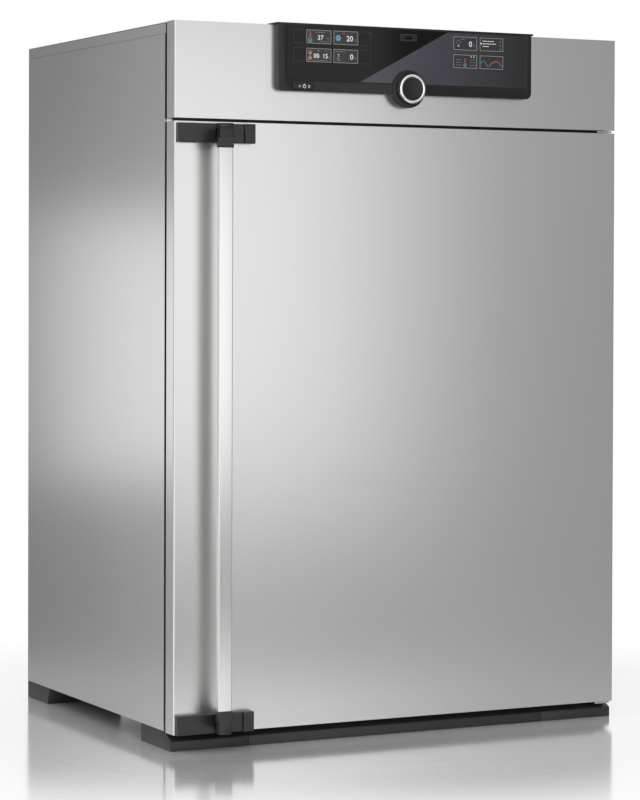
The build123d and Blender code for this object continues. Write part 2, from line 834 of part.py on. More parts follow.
def door_insulation():
    half = rebate_half + gasket_margin
    wool = block(
        -half, half, door_face + sheet, door_back - sheet,
        door_bottom + flange + sheet, door_top - flange - sheet
    )
    h = latch_height / 2 + 2
    depth = sheet + 2 * latch_play + crank_width + latch_thickness
    for level in hook_levels():
        wool -= block(
            -half - 1, pivot_x + 2 * crank_width + 2, door_face, door_face + depth, level - h, level + h
        )
    return wool


def door_gasket():
    """A silicone frame on the door's inside sheet, rounded where it meets the cabinet."""
    z0 = rebate_bottom - gasket_margin - gasket_width
    z1 = rebate_top + gasket_margin + gasket_width
    y1 = side_front - seal_clearance
    gasket = ring_y(gasket_half, z0, z1, gasket_width, door_back, y1)
    rim = gasket.faces().sort_by(Axis.Y)[-1].edges()
    return chamfer(rim, 2.0)


def lock_bracket():
    """The upper bracket: a flat arm, an end block and the boss that holds the handle's pin."""
    x0 = -half_width + bracket_inset
    x1 = x0 + bracket_length
    z1 = door_top - bracket_inset
    z0 = z1 - bracket_height
    arm = block(x0, x1, door_face - bracket_thickness, door_face, z0, z1)
    end_block = block(x1 - bracket_block_width, x1, door_face - bracket_block_depth, door_face, z0, z1)
    arm = fillet(arm.edges().filter_by(Axis.X).group_by(Axis.Y)[0], 1.5)
    end_block = fillet(end_block.edges().filter_by(Axis.Z).group_by(Axis.Y)[0], 2.0)
    boss = upright(pivot_x, pivot_y, z1 - bracket_boss_height, z1, knuckle_radius)
    web = block(
        pivot_x - knuckle_radius, pivot_x + knuckle_radius, pivot_y, door_face,
        z1 - bracket_boss_height, z1
    )
    room = upright(pivot_x, pivot_y, z0 - 1, z1 - bracket_boss_height, knuckle_radius + turning_gap)
    pin = upright(pivot_x, pivot_y, z1 - bracket_boss_height - 1, z1 + 1, pivot_pin_radius + 0.02)
    bracket = arm + end_block - room + boss + web - pin
    return bracket - crank_slot(pivot_y, door_face + 1, upper_pivot_z)


def handle_pins():
    """The two steel pins, fixed in the bosses of the brackets."""
    z1 = door_top - bracket_inset - 2
    z0 = upper_pivot_z - knuckle_height / 2 + 1
    pin = upright(pivot_x, pivot_y, z0, z1, pivot_pin_radius)
    pin = chamfer(pin.faces().sort_by(Axis.Z)[0].edges(), 0.8)
    return Compound(children=[pin, flipped(pin)])


def bar_section(margin, z0, z1):
    """The bar's rounded outline, grown by a margin."""
    w, t = handle_width / 2 + margin, handle_thickness / 2 + margin
    section = block(bar_x - w, bar_x + w, bar_y - t, bar_y + t, z0, z1)
    return fillet(section.edges().filter_by(Axis.Z), min(2.0, t * 0.8))


def handle_bar():
    """A hollow drawn profile with rounded edges."""
    z0, z1 = door_bottom + handle_end_gap, door_top - bracket_inset - handle_end_gap
    return bar_section(0, z0, z1) - bar_section(-handle_wall, z0 - 1, z1 + 1)


def handle_cap():
    """The upper cap: a plug in the bar, a shoulder, an arm and the knuckle on the pin."""
    z0 = door_top - bracket_inset - handle_end_gap
    shoulder = bar_section(cap_margin, z0, z0 + cap_height)
    front = bar_y - handle_thickness / 2 - cap_margin
    top = z0 + cap_height
    w = handle_width
    slope = [(front - 1, top - 5), (front - 1, top + 1), (front + 4, top + 1)]
    shoulder -= profile_along_x(slope, bar_x - w, bar_x + w)
    plug = bar_section(-handle_wall - running_clearance, z0 - cap_plug, z0)
    k0, k1 = upper_pivot_z - knuckle_height / 2, upper_pivot_z + knuckle_height / 2
    knuckle = upright(pivot_x, pivot_y, k0, k1, knuckle_radius)
    w = handle_width / 2 - 1.0
    outline = Polyline(
        (bar_x - w, bar_y - handle_thickness / 2),
        (bar_x + w, bar_y - handle_thickness / 2),
        (pivot_x + knuckle_radius, pivot_y),
        (pivot_x - knuckle_radius, pivot_y),
        close=True,
    )
    arm = Pos(0, 0, k0) * extrude(make_face(outline), k1 - k0, dir=(0, 0, 1))
    finger_end = pivot_y + crank_radius
    c = crank_width / 2
    h = crank_height / 2
    finger = block(pivot_x - c, pivot_x + c, pivot_y, finger_end, upper_pivot_z - h, upper_pivot_z + h)
    finger += upright(pivot_x, finger_end, upper_pivot_z - h, upper_pivot_z + h, c)
    cap = shoulder + plug + arm + knuckle + finger
    return cap - upright(pivot_x, pivot_y, k0 - 1, k1 + 1, pivot_pin_radius + running_clearance)


def latch_slides():
    """The sliding plates behind the door's face, each with a notch for the finger and a hook."""
    y0 = door_face + sheet + latch_play
    y1 = y0 + latch_thickness
    level = upper_pivot_z
    h = latch_height / 2
    stem_half = hook_width / 2
    stem_x = hook_middle + latch_travel / 2
    plate = block(stem_x - stem_half, pivot_x + crank_width + 6, y0, y1, level - h, level + h)
    c = crank_width / 2 + latch_play
    hc = crank_height / 2 + latch_play
    plate -= block(pivot_x - c, pivot_x + c, y0 - 1, y1 + 1, level - hc, level + hc)
    hh = hook_height / 2
    tip = side_front + sheet + hook_reach
    stem = block(stem_x - stem_half, stem_x + stem_half, y1, tip, level - hh, level + hh)
    y0 = side_front + sheet + hook_grip
    lip = block(stem_x - stem_half - hook_lip, stem_x, y0, tip, level - hh, level + hh)
    lip = chamfer(lip.edges().filter_by(Axis.Z).group_by(Axis.X)[0].sort_by(Axis.Y)[-1:], hook_bevel)
    slide = plate + stem + lip
    return Compound(children=[slide, flipped(slide)])


def latch_rod():
    """The flat bar that joins the two slides."""
    y0 = door_face + sheet + latch_play + latch_thickness
    x0 = hook_middle + latch_travel / 2 + hook_width / 2 + 3
    upper, lower = hook_levels()
    h = latch_height / 2
    return block(x0, x0 + flange - 3, y0, y0 + latch_thickness, lower - h, upper + h)


def latch_strikers():
    """Slotted plates on the front frame that the hooks pass through."""
    plates = []
    slot_half = (hook_width + latch_travel) / 2 + hook_slot_gap
    w = slot_half + striker_margin
    h = hook_height / 2 + striker_end
    for level in hook_levels():
        plate = block(
            hook_middle - w, hook_middle + w, side_front - striker_thickness, side_front,
            level - h, level + h
        )
        plate = fillet(plate.edges().filter_by(Axis.Y), 3.0)
        plates.append(plate - hook_slot(side_front - striker_thickness - 1, side_front + 1, level))
    return Compound(children=plates)


def glass_places():
    """Free edge, hinge edge and heights of the pane, and the y of its two faces."""
    half = chamber_half + glass_overlap
    rear = ledge - glass_seal_height - seal_clearance
    return half, chamber_floor - glass_overlap, chamber_top + glass_overlap, rear - glass_thickness, rear


def glass_hinge_levels():
    half, z0, z1, y0, y1 = glass_places()
    return z0 + glass_hinge_inset, z1 - glass_hinge_inset


def glass_pin_place():
    return rebate_half - glass_hinge_side_gap, ledge - glass_hinge_offset


def glass_latch_place():
    half, z0, z1, y0, y1 = glass_places()
    return -half + glass_latch_inset, (z0 + z1) / 2


def glass_pane():
    half, z0, z1, y0, y1 = glass_places()
    pane = block(-half, half, y0, y1, z0, z1)
    pane = fillet(pane.edges().filter_by(Axis.Y), glass_corner_radius)
    x, z = glass_latch_place()
    return pane - along_y(x, z, y0 - 1, y1 + 1, glass_spindle_radius + 0.5)


def glass_seal():
    """The seal on the ledge that the pane closes on."""
    half, z0, z1, y0, y1 = glass_places()
    return ring_y(half - 0.5, z0 + 0.5, z1 - 0.5, glass_seal_width, ledge - glass_seal_height, ledge)


def glass_clamps():
    """Two angle plates, bonded to the pane's face and edge, that turn on the pins."""
    half, z0, z1, y0, y1 = glass_places()
    x, y = glass_pin_place()
    h = glass_clamp_height / 2
    clamps = []
    for level in glass_hinge_levels():
        jaw = block(x - glass_clamp_reach, x, y0 - glass_clamp_thickness, y1, level - h, level + h)
        jaw += upright(x, y, level - h, level + h, glass_barrel_radius)
        jaw -= block(x - glass_clamp_reach - 1, half + 0.1, y0 - 0.05, y1 + 0.05, level - h - 1, level + h + 1)
        jaw -= upright(x, y, level - h - 1, level + h + 1, glass_pin_radius + running_clearance)
        clamps.append(jaw)
    return Compound(children=clamps)


def glass_fittings():
    """Two hinge brackets with their pins, and the catch, on the walls of the recess."""
    x, y = glass_pin_place()
    half, z0, z1, y0, y1 = glass_places()
    ear = glass_ear
    pieces = []
    for level in glass_hinge_levels():
        h = glass_clamp_height / 2 + 0.5
        bracket = upright(x, y, level - h - ear, level + h + ear, glass_pin_radius)
        for low in (level - h - ear, level + h):
            bracket += block(x, rebate_half, y - glass_barrel_radius, y + glass_barrel_radius, low, low + ear)
            bracket += upright(x, y, low, low + ear, glass_barrel_radius)
        pieces.append(bracket)
    latch_x, latch_z = glass_latch_place()
    wall = -rebate_half
    low, high = latch_z - glass_latch_radius, latch_z + glass_latch_radius
    lip_y = y0 - glass_knob_gap - glass_catch_gap
    leg = block(wall, wall + glass_catch_thickness, lip_y, ledge, low, high)
    lip = block(wall, -half - glass_catch_lip, lip_y, lip_y + glass_catch_lip, low, high)
    pieces.append(leg + lip)
    return Compound(children=pieces)


def glass_latch():
    """The turning knob of the glass door with its tongue, pointing up when it is free."""
    half, z0, z1, y0, y1 = glass_places()
    x, z = glass_latch_place()
    back = y0 - glass_knob_gap
    knob = along_y(x, z, back - glass_knob_length, back, glass_latch_radius)
    knob = fillet(knob.faces().sort_by(Axis.Y)[0].edges(), 2.0)
    w = glass_tongue_width / 2
    tongue = block(x - w, x + w, back, back + glass_tongue_thickness, z, z + glass_latch_reach)
    tongue = fillet(tongue.edges().filter_by(Axis.Y).group_by(Axis.Z)[-1], glass_tongue_width / 3)
    spindle = along_y(x, z, back, y1 + fit_gap + glass_nut_height, glass_spindle_radius)
    nut_radius = glass_spindle_radius + glass_nut_rim
    washer = along_y(x, z, back + glass_tongue_thickness, y0 - fit_gap, nut_radius)
    nut = along_y(x, z, y1 + fit_gap, y1 + fit_gap + glass_nut_height, nut_radius)
    return knob + tongue + spindle + washer + nut


def shelf(number):
    """A welded wire shelf that lies on one pair of ribs."""
    z0 = rib_top(number) + shelf_clearance
    z1 = z0 + shelf_bar
    half = chamber_half - shelf_side_gap
    y0 = liner_front + shelf_setback
    y1 = baffle_face - shelf_rear_gap
    grid = block(-half, half, y0, y1, z0, z1)
    grid -= block(-half + shelf_bar, half - shelf_bar, y0 + shelf_bar, y1 - shelf_bar, z0 - 1, z1 + 1)
    z = z1 - shelf_wire / 2 - shelf_wire_drop
    pitch = 2 * (half - shelf_bar) / (shelf_wires + 1)
    for wire in range(1, shelf_wires + 1):
        x = -half + shelf_bar + wire * pitch
        grid += along_y(x, z, y0 + shelf_bar / 2, y1 - shelf_bar / 2, shelf_wire / 2)
    for share in (1 / 3, 2 / 3):
        y = y0 + share * (y1 - y0)
        w = shelf_brace_width / 2
        grid += block(-half + shelf_bar / 2, half - shelf_bar / 2, y - w, y + w, z0, z0 + shelf_brace_height)
    return grid


def cockpit_outline(y0, y1):
    """The front outline with rounded lower corners."""
    front = block(-cockpit_half, cockpit_half, y0, y1, cockpit_bottom, cockpit_top)
    return fillet(front.edges().filter_by(Axis.Y).group_by(Axis.Z)[0], cockpit_corner)


def glass_outline(y0, y1, grow):
    """The panel glass, cut round the knob's collar."""
    half = panel_glass_width / 2 + grow
    z0 = cockpit_bottom + panel_glass_bottom_margin - grow
    z1 = cockpit_top - panel_glass_top_margin + grow
    pane = block(-half, half, y0, y1, z0, z1)
    pane = fillet(pane.edges().filter_by(Axis.Y), 4.0)
    return pane - along_y(0, knob_z, y0 - 1, y1 + 1, collar_radius + 1 - grow)


def window_places():
    """The two display windows as low and high corners in X and Z."""
    z1 = cockpit_top - display_top_margin
    return [
        (middle - display_width / 2, middle + display_width / 2, z1 - display_height, z1)
        for middle in (display_left, display_right)
    ]


def usb_place(grow):
    z1 = cockpit_top - 10.0
    return -usb_width / 2 - grow, usb_width / 2 + grow, z1 - usb_height - grow, z1 + grow


def button_place(grow):
    z = cockpit_bottom + button_rise
    w, h = button_width / 2 + grow, button_height / 2 + grow
    return button_middle - w, button_middle + w, z - h, z + h


def encoder_box(grow, y0, y1):
    """The part of the rear box that reaches down behind the collar."""
    w = encoder_size / 2 + cockpit_wall / 2 + 1 + grow
    return block(-w, w, y0, y1, knob_z - w, knob_z + w)


def cockpit_housing():
    """The moulded housing: a proud front with a collar, a lip over the fascia and a rear box."""
    front = cockpit_outline(cockpit_front, door_face)
    front += along_y(0, knob_z, door_face - collar_proud, door_face, collar_radius)
    lip_half = cockpit_half + cockpit_lip_margin
    lip = block(
        -lip_half, lip_half, cockpit_front, door_face + cockpit_lip_depth,
        cabinet_height + fit_gap / 2, cockpit_top
    )
    w = cockpit_half - cockpit_inset
    z0, z1 = cockpit_bottom + cockpit_inset, cabinet_height - cockpit_inset
    rear = block(-w, w, door_face, door_face + cockpit_behind, z0, z1)
    rear += encoder_box(0, door_face, door_face + cockpit_behind)
    wall = cockpit_wall / 2
    cavity = block(
        -w + wall, w - wall, cockpit_inner_front, door_face + cockpit_behind + 1, z0 + wall, z1 - wall
    )
    cavity += encoder_box(-wall, door_face - wall, door_face + cockpit_behind + 1)
    housing = front + lip + rear - cavity
    x0 = board_width / 2 - board_post_inset - board_post_radius
    r = board_post_radius
    for z in board_heights():
        arm = block(x0, w - wall / 2, cockpit_inner_front + wall, board_front, z - r, z + r)
        housing += [arm, mirror_x(arm)]
    housing -= glass_outline(cockpit_front - 1, cockpit_front + panel_glass_thickness, fit_gap)
    for x0, x1, z0, z1 in window_places():
        g = fit_gap
        housing -= block(x0 - g, x1 + g, cockpit_front - 1, cockpit_inner_front + 1, z0 - g, z1 + g)
    x0, x1, z0, z1 = usb_place(fit_gap)
    housing -= block(x0, x1, cockpit_front - 1, cockpit_front + usb_depth + fit_gap, z0, z1)
    x0, x1, z0, z1 = button_place(button_gap)
    housing -= block(x0, x1, cockpit_front - 1, cockpit_inner_front + button_room, z0, z1)
    bore = along_y(0, knob_z, door_face - collar_proud - 1, door_face + 1, plunger_radius + 1)
    return housing - bore


def board_heights():
    middle = (cockpit_bottom + cockpit_top) / 2
    reach = board_height / 2 - board_post_inset
    return middle - reach, middle + reach


def display_glass():
    pane = glass_outline(cockpit_front, cockpit_front + panel_glass_thickness, 0)
    x0, x1, z0, z1 = usb_place(fit_gap)
    return pane - block(x0, x1, cockpit_front - 1, cockpit_front + panel_glass_thickness + 1, z0, z1)


def displays():
    """Two display modules behind the glass."""
    y0 = cockpit_front + panel_glass_thickness
    panels = [block(x0, x1, y0, cockpit_inner_front, z0, z1) for x0, x1, z0, z1 in window_places()]
    return Compound(children=panels)


def usb_socket():
    """The socket in the glass, with the tongue in its mouth."""
    x0, x1, z0, z1 = usb_place(0)
    body = block(x0, x1, cockpit_front, cockpit_front + usb_depth, z0, z1)
    w, h = usb_mouth_width / 2, usb_mouth_height / 2
    z = (z0 + z1) / 2
    body -= block(-w, w, cockpit_front - 1, cockpit_front + usb_depth - 2, z - h, z + h)
    tongue_top = z + h - 0.8
    return body + block(
        -w + 1, w - 1, cockpit_front + 1, cockpit_front + usb_depth - 1, tongue_top - usb_tongue, tongue_top
    )


def control_board():
    """The board on its posts, with a tab that carries the encoder."""
    middle = (cockpit_bottom + cockpit_top) / 2
    h = board_height / 2
    w = board_width / 2
    y1 = board_front + board_thickness
    board = block(-w, w, board_front, y1, middle - h, middle + h)
    e = encoder_size / 2
    return board + block(-e, e, board_front, y1, knob_z - e, middle)


def rotary_encoder():
    """The encoder in front of the board, with the bore that guides its plunger."""
    h = encoder_size / 2
    body = block(-h, h, board_front - encoder_depth, board_front, knob_z - h, knob_z + h)
    y0, y1 = board_front - encoder_depth - 1, board_front - encoder_floor
    bore = along_y(0, knob_z, y0, y1, plunger_radius + running_clearance)
    return body - bore


def encoder_plunger():
    """The sleeve that the spindle turns in and that the knob pushes."""
    y0, y1 = board_front - encoder_depth - plunger_front, spindle_end
    sleeve = along_y(0, knob_z, y0, y1, plunger_radius)
    return sleeve - along_y(0, knob_z, y0 - 1, y1 + 1, spindle_radius + running_clearance)


def knob_faces():
    """The back and the front of the knob."""
    return door_face - collar_proud - knob_travel_gap, door_face - knob_front


def knob_ring():
    back, front = knob_faces()
    ring = along_y(0, knob_z, front, back, knob_ring_radius)
    ring = fillet(ring.faces().sort_by(Axis.Y)[0].edges(), 2.0)
    return ring - along_y(0, knob_z, front - 1, back + 1, knob_ring_bore)


def knob_cap():
    """The dished disc inside the ring."""
    back, front = knob_faces()
    cap = along_y(0, knob_z, front + knob_dish, back, knob_ring_bore - running_clearance)
    dish_radius = (knob_ring_bore ** 2 + knob_dish ** 2) / (2 * knob_dish)
    cap -= Pos(0, front + 2 * knob_dish - dish_radius, knob_z) * Sphere(dish_radius)
    return cap - along_y(0, knob_z, back - spindle_grip, back + 1, spindle_radius + running_clearance)


def knob_spindle():
    back, front = knob_faces()
    return along_y(0, knob_z, back - spindle_grip + fit_gap, spindle_end, spindle_radius)


def power_button():
    """The rounded key in the control panel's lower edge."""
    x0, x1, z0, z1 = button_place(0)
    y0 = cockpit_front - button_proud
    key = block(x0, x1, y0, y0 + button_depth, z0, z1)
    return fillet(key.faces().sort_by(Axis.Y)[0].edges(), button_edge)


def power_board():
    """The power electronics, on a tray that lies on the insulation."""
    z0 = chamber_top + top_wall - flange
    z1 = z0 + sheet
    x0, x1 = power_middle - power_tray_width / 2, power_middle + power_tray_width / 2
    y1 = rear_panel_inside - power_rear_gap
    y0 = y1 - power_tray_depth
    tray = block(x0, x1, y0, y1, z0, z1)
    m = power_margin
    supply = block(x0 + m, x0 + m + supply_width, y0 + m, y1 - m, z1, z1 + supply_height)
    supply = fillet(supply.edges().filter_by(Axis.Z), supply_corner)
    relay = block(x1 - m - relay_width, x1 - m, y0 + 2 * m, y1 - 2 * m, z1, z1 + relay_height)
    return tray + supply + relay


def rear_screws():
    """Pan heads along both edges of the rear panel."""
    heads = []
    span = panel_top - base_top
    x = half_width - flange / 2
    for number in range(screws_per_side):
        z = base_top + (number + 0.5) * span / screws_per_side
        head = along_y(x, z, rear_face, rear_face + screw_head_height, screw_head_radius)
        head = fillet(head.faces().sort_by(Axis.Y)[-1].edges(), screw_head_height * 0.6)
        heads += [head, mirror_x(head)]
    return Compound(children=heads)


def make_parts():
    """Every piece under the name of its file."""
    right_side = side_panel()
    bracket = lock_bracket()
    cap = handle_cap()
    parts.update(
        left_side_panel=mirror_x(right_side),
        right_side_panel=right_side,
        top_cover=top_cover(),
        rear_panel=rear_panel(),
        base_panel=base_panel(),
        front_frame=front_frame(),
        fascia_panel=fascia_panel(),
        fascia_mounts=fascia_mounts(),
        rear_screws=rear_screws(),
        front_feet=front_feet(),
        front_plinth=front_plinth(),
        rear_feet=rear_feet(),
        chamber_liner=liner(),
        shelf_ribs=shelf_ribs(),
        chamber_insulation=insulation(),
        heating_mats=heating_mats(),
        air_baffle=air_baffle(),
        temperature_sensors=temperature_sensors(),
        fan_motor=fan_motor(),
        fan_wheel=fan_wheel(),
        exhaust_pipe=exhaust_pipe(),
        air_flap=air_flap(),
        flap_motor=flap_motor(),
        mains_inlet=mains_inlet(),
        network_socket=network_socket(),
        power_board=power_board(),
        cockpit_housing=cockpit_housing(),
        display_glass=display_glass(),
        displays=displays(),
        usb_socket=usb_socket(),
        control_board=control_board(),
        rotary_encoder=rotary_encoder(),
        encoder_plunger=encoder_plunger(),
        knob_spindle=knob_spindle(),
        knob_ring=knob_ring(),
        knob_cap=knob_cap(),
        power_button=power_button(),
        upper_hinge=upper_hinge(),
        lower_hinge=lower_hinge(),
        latch_strikers=latch_strikers(),
        door_outer_panel=door_outer_panel(),
        door_inner_panel=door_inner_panel(),
        door_insulation=door_insulation(),
        door_gasket=door_gasket(),
        door_bushes=door_bushes(),
        upper_lock_bracket=bracket,
        lower_lock_bracket=flipped(bracket),
        handle_pins=handle_pins(),
        handle_bar=handle_bar(),
        upper_handle_cap=cap,
        lower_handle_cap=flipped(cap),
        latch_slides=latch_slides(),
        latch_rod=latch_rod(),
        glass_seal=glass_seal(),
        glass_fittings=glass_fittings(),
        glass_pane=glass_pane(),
        glass_clamps=glass_clamps(),
        glass_latch=glass_latch(),
    )
    for name, number in shelf_rib_numbers.items():
        parts[name + "_shelf"] = shelf(number)


make_parts()
os.makedirs("parts", exist_ok=True)
for node, shape in parts.items():
    export_step(shape, "parts/" + node + ".step")
print(len(parts), "nodes written")
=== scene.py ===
# %% [markdown]
# A laboratory incubator stands on the floor: a satin steel cabinet about as high as a worktop and a half,
# with one big door, a full-height handle and a black control panel. The frame that we load already
# holds every piece at its real size. This lesson dresses it: finishes, softened edges, the lit display,
# screws and louvres at the back, and the studio around it.
# Everything is in metres, X runs along the width, the front looks along -Y and Z is up.

# %% Load the frame
import json
import math

import bpy
from mathutils import Matrix, Vector

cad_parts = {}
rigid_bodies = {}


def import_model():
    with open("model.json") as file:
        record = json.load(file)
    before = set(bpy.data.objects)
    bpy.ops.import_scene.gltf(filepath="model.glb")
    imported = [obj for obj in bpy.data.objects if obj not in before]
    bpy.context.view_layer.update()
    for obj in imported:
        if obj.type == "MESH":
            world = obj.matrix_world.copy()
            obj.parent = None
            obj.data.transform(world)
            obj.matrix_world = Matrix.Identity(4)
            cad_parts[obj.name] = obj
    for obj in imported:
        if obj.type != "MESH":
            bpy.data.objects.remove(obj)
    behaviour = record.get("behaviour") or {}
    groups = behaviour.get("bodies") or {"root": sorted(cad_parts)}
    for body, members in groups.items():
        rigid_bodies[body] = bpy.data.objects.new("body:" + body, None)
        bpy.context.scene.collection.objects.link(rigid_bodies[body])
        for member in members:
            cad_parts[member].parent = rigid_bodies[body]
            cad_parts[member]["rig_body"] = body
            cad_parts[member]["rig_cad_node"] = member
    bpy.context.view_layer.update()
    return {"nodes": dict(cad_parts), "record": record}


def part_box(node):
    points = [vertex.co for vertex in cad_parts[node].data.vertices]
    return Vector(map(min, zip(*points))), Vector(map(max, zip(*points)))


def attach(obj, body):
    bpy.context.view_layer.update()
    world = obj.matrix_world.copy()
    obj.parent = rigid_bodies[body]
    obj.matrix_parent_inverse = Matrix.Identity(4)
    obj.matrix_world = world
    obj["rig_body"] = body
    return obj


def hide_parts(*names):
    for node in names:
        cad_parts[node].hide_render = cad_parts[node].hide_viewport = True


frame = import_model()

# %% [markdown]
# A finish is a small graph of nodes. Wiring it by hand is hard to read, so one class wraps an output
# socket and turns plus, minus and the like into Math nodes. A formula in a finish then reads like the
# formula on paper. Every other node comes from one method, which sets the node's options first and
# then its sockets.

# %% Sockets that can be added and multiplied
class Wire:
    """An output socket in a node tree that takes part in formulas."""

    def __init__(self, recipe, socket):
        self.recipe = recipe
        self.socket = socket

    def math(self, operation, *others):
        """Adds a Math node on this value and others."""
        values = dict(enumerate([self, *others]))
        return self.recipe.node("ShaderNodeMath", {"operation": operation}, values)

    def __add__(self, other):
        return self.math("ADD", other)

    def __sub__(self, other):
        return self.math("SUBTRACT", other)

    def __rsub__(self, other):
        return self.math("MULTIPLY", -1).math("ADD", other)

    def __mul__(self, other):
        return self.math("MULTIPLY", other)

    def __truediv__(self, other):
        return self.math("DIVIDE", other)

    def __pow__(self, other):
        return self.math("POWER", other)

    def __gt__(self, other):
        return self.math("GREATER_THAN", other)

    __radd__ = __add__
    __rmul__ = __mul__


# %% [markdown]
# A recipe holds one material, or the world, and makes its nodes. The steps that most finishes share
# are methods too: noise on the object's own coordinates, a mix of two colours, uneven roughness and
# bump from a height.
# Object coordinates keep the grain fixed to the piece, at its real size, wherever the piece moves.

# %% Recipes for finishes
class Recipe:
    """A node tree under construction, with its Principled shader."""

    def __init__(self, name):
        self.material = bpy.data.materials.new(name)
        self.material.use_nodes = True
        self.tree = self.material.node_tree
        self.shader = self.tree.nodes["Principled BSDF"]

    def node(self, kind, settings=None, inputs=None, output=0):
        """Adds a node: its settings first, then the values or links of its inputs."""
        made = self.tree.nodes.new(kind)
        for key, value in (settings or {}).items():
            setattr(made, key, value)
        for key, value in (inputs or {}).items():
            self.feed(made.inputs[key], value)
        return Wire(self, made.outputs[output])

    def feed(self, socket, value):
        """Links a wire to an input, or sets its value; a colour gets its alpha."""
        if isinstance(value, Wire):
            self.tree.links.new(value.socket, socket)
        elif hasattr(value, "__len__") and len(value) == 3 and socket.type == "RGBA":
            socket.default_value = (*value, 1.0)
        else:
            socket.default_value = value

    def set(self, **inputs):
        """Sets sockets of the shader; Base_Color stands for Base Color."""
        for key, value in inputs.items():
            self.feed(self.shader.inputs[key.replace("_", " ")], value)

    def place(self):
        """The point on the object, in metres."""
        return self.node("ShaderNodeTexCoord", output="Object")

    def axes(self):
        """X, Y and Z of the point."""
        made = self.tree.nodes.new("ShaderNodeSeparateXYZ")
        self.feed(made.inputs[0], self.place())
        return [Wire(self, socket) for socket in made.outputs]

    def noise(self, scale, stretch=(1, 1, 1), detail=2.0, roughness=0.5):
        """Soft noise with scale cells in a metre, pulled out along an axis where stretch is small."""
        where = self.node("ShaderNodeMapping", inputs={"Vector": self.place(), "Scale": stretch})
        values = {"Vector": where, "Scale": scale, "Detail": detail, "Roughness": roughness}
        return self.node("ShaderNodeTexNoise", inputs=values)

    def blend(self, share, low, high):
        """A colour between two colours; a Mix node's colours are its inputs 6 and 7."""
        return self.node("ShaderNodeMix", {"data_type": "RGBA"}, {0: share, 6: low, 7: high}, output=2)

    def roughen(self, middle, *parts):
        """Roughness about a middle value; each part is a value from 0 to 1 and how far it swings."""
        level = middle - sum(swing for value, swing in parts) / 2
        for value, swing in parts:
            level = value * swing + level
        self.set(Roughness=level)

    def bump(self, height, strength, depth):
        """Relief from a height between 0 and 1; depth is its size in metres."""
        values = {"Height": height, "Strength": strength, "Distance": depth}
        self.set(Normal=self.node("ShaderNodeBump", inputs=values))


print("recipes ready")

# %% [markdown]
# Stainless sheet with a satin texture makes up nearly all that shows. Close up it has a fine, even
# grain; from a step away it mirrors the room very softly. So the metal is left one colour but for a
# faint rolled streak along the height, and the grain goes into bump and roughness. The inside sheet is
# brighter and smoother.

# %% Steel finishes
MM = 0.001
ROLLED = (1, 1, 0.06)  # pulls the noise out along the height


def sheet_steel(name, tone, roughness, grain, streak):
    """Satin sheet: grain in cells per metre, streak as a share of the tone."""
    recipe = Recipe(name)
    rolled = recipe.noise(9, stretch=ROLLED, detail=3)
    cloud = recipe.noise(2.3, detail=1)
    shade = rolled * streak + cloud * streak
    dark = [c * (1 - streak) for c in tone]
    light = [min(1.0, c * (1 + streak)) for c in tone]
    fine = recipe.noise(grain, detail=3, roughness=0.65)
    recipe.set(Metallic=1.0, Base_Color=recipe.blend(shade / (2 * streak), dark, light))
    recipe.roughen(roughness, (fine, 0.06), (cloud, 0.04))
    recipe.bump(fine, 0.18, 0.05 * MM)
    return recipe.material


def drawn_steel(name, tone, roughness, stretch, lines):
    """Metal with fine lines along one axis, the one that stretch makes small."""
    recipe = Recipe(name)
    fine = recipe.noise(lines, stretch=stretch, detail=3, roughness=0.7)
    dark = [c * 0.94 for c in tone]
    recipe.set(Metallic=1.0, Base_Color=recipe.blend(fine, dark, tone))
    recipe.roughen(roughness, (fine, 0.12))
    recipe.bump(fine, 0.12, 0.04 * MM)
    return recipe.material


finishes = {
    "steel_skin": sheet_steel("satin steel", (0.66, 0.66, 0.655), 0.30, 1300, 0.02),
    "steel_inside": sheet_steel("bright inner steel", (0.7, 0.7, 0.69), 0.24, 1700, 0.015),
    "handle_metal": drawn_steel("satin drawn profile", (0.78, 0.78, 0.77), 0.3, (1, 1, 0.01), 1600),
    "plain_steel": drawn_steel("plain steel", (0.62, 0.62, 0.61), 0.28, (1, 0.2, 1), 900),
    "motor_metal": drawn_steel("cast aluminium", (0.5, 0.5, 0.51), 0.5, (1, 1, 1), 700),
}
print("steel finishes:", sorted(finishes))

# %% [markdown]
# Zinc coated sheet closes the back and the bottom. Its crystals show as pale, straight-edged patches a
# centimetre across, which is what a Voronoi texture makes. The cells only shift the tone and the
# roughness a little.

# %% Zinc coated sheet
CRYSTALS = 85.0  # in a metre


def zinc_sheet():
    recipe = Recipe("zinc coated sheet")
    values = {"Vector": recipe.place(), "Scale": CRYSTALS}
    cells = recipe.node("ShaderNodeTexVoronoi", {"feature": "F1"}, values, output="Color")
    tone = recipe.node("ShaderNodeSeparateColor", inputs={0: cells})
    recipe.set(Metallic=1.0, Base_Color=recipe.blend(tone, (0.44, 0.455, 0.46), (0.56, 0.57, 0.575)))
    recipe.roughen(0.42, (tone, 0.12))
    recipe.bump(recipe.noise(400), 0.1, 0.05 * MM)
    return recipe.material


finishes["zinc_sheet"] = zinc_sheet()
print("zinc sheet made")

# %% [markdown]
# Moulded plastic comes out of a spark-eroded tool, so its black is never quite flat: a leathery grain
# of half a millimetre breaks up the highlight. The control panel's plastic is smoother. Silicone seals
# are duller, and grey.

# %% Plastics and rubber
def moulded(name, tone, roughness, grain, depth, shine=0.5):
    """Plastic with grain in cells per metre, its depth in metres and a share of the usual shine."""
    recipe = Recipe(name)
    pits = recipe.noise(grain, detail=2)
    wear = recipe.noise(14, detail=3)
    light = [c * 1.35 for c in tone]
    recipe.set(Base_Color=recipe.blend(wear, tone, light))
    recipe.set(Specular_IOR_Level=shine)
    recipe.roughen(roughness, (pits, 0.1), (wear, 0.06))
    recipe.bump(pits, 0.25, depth)
    return recipe.material


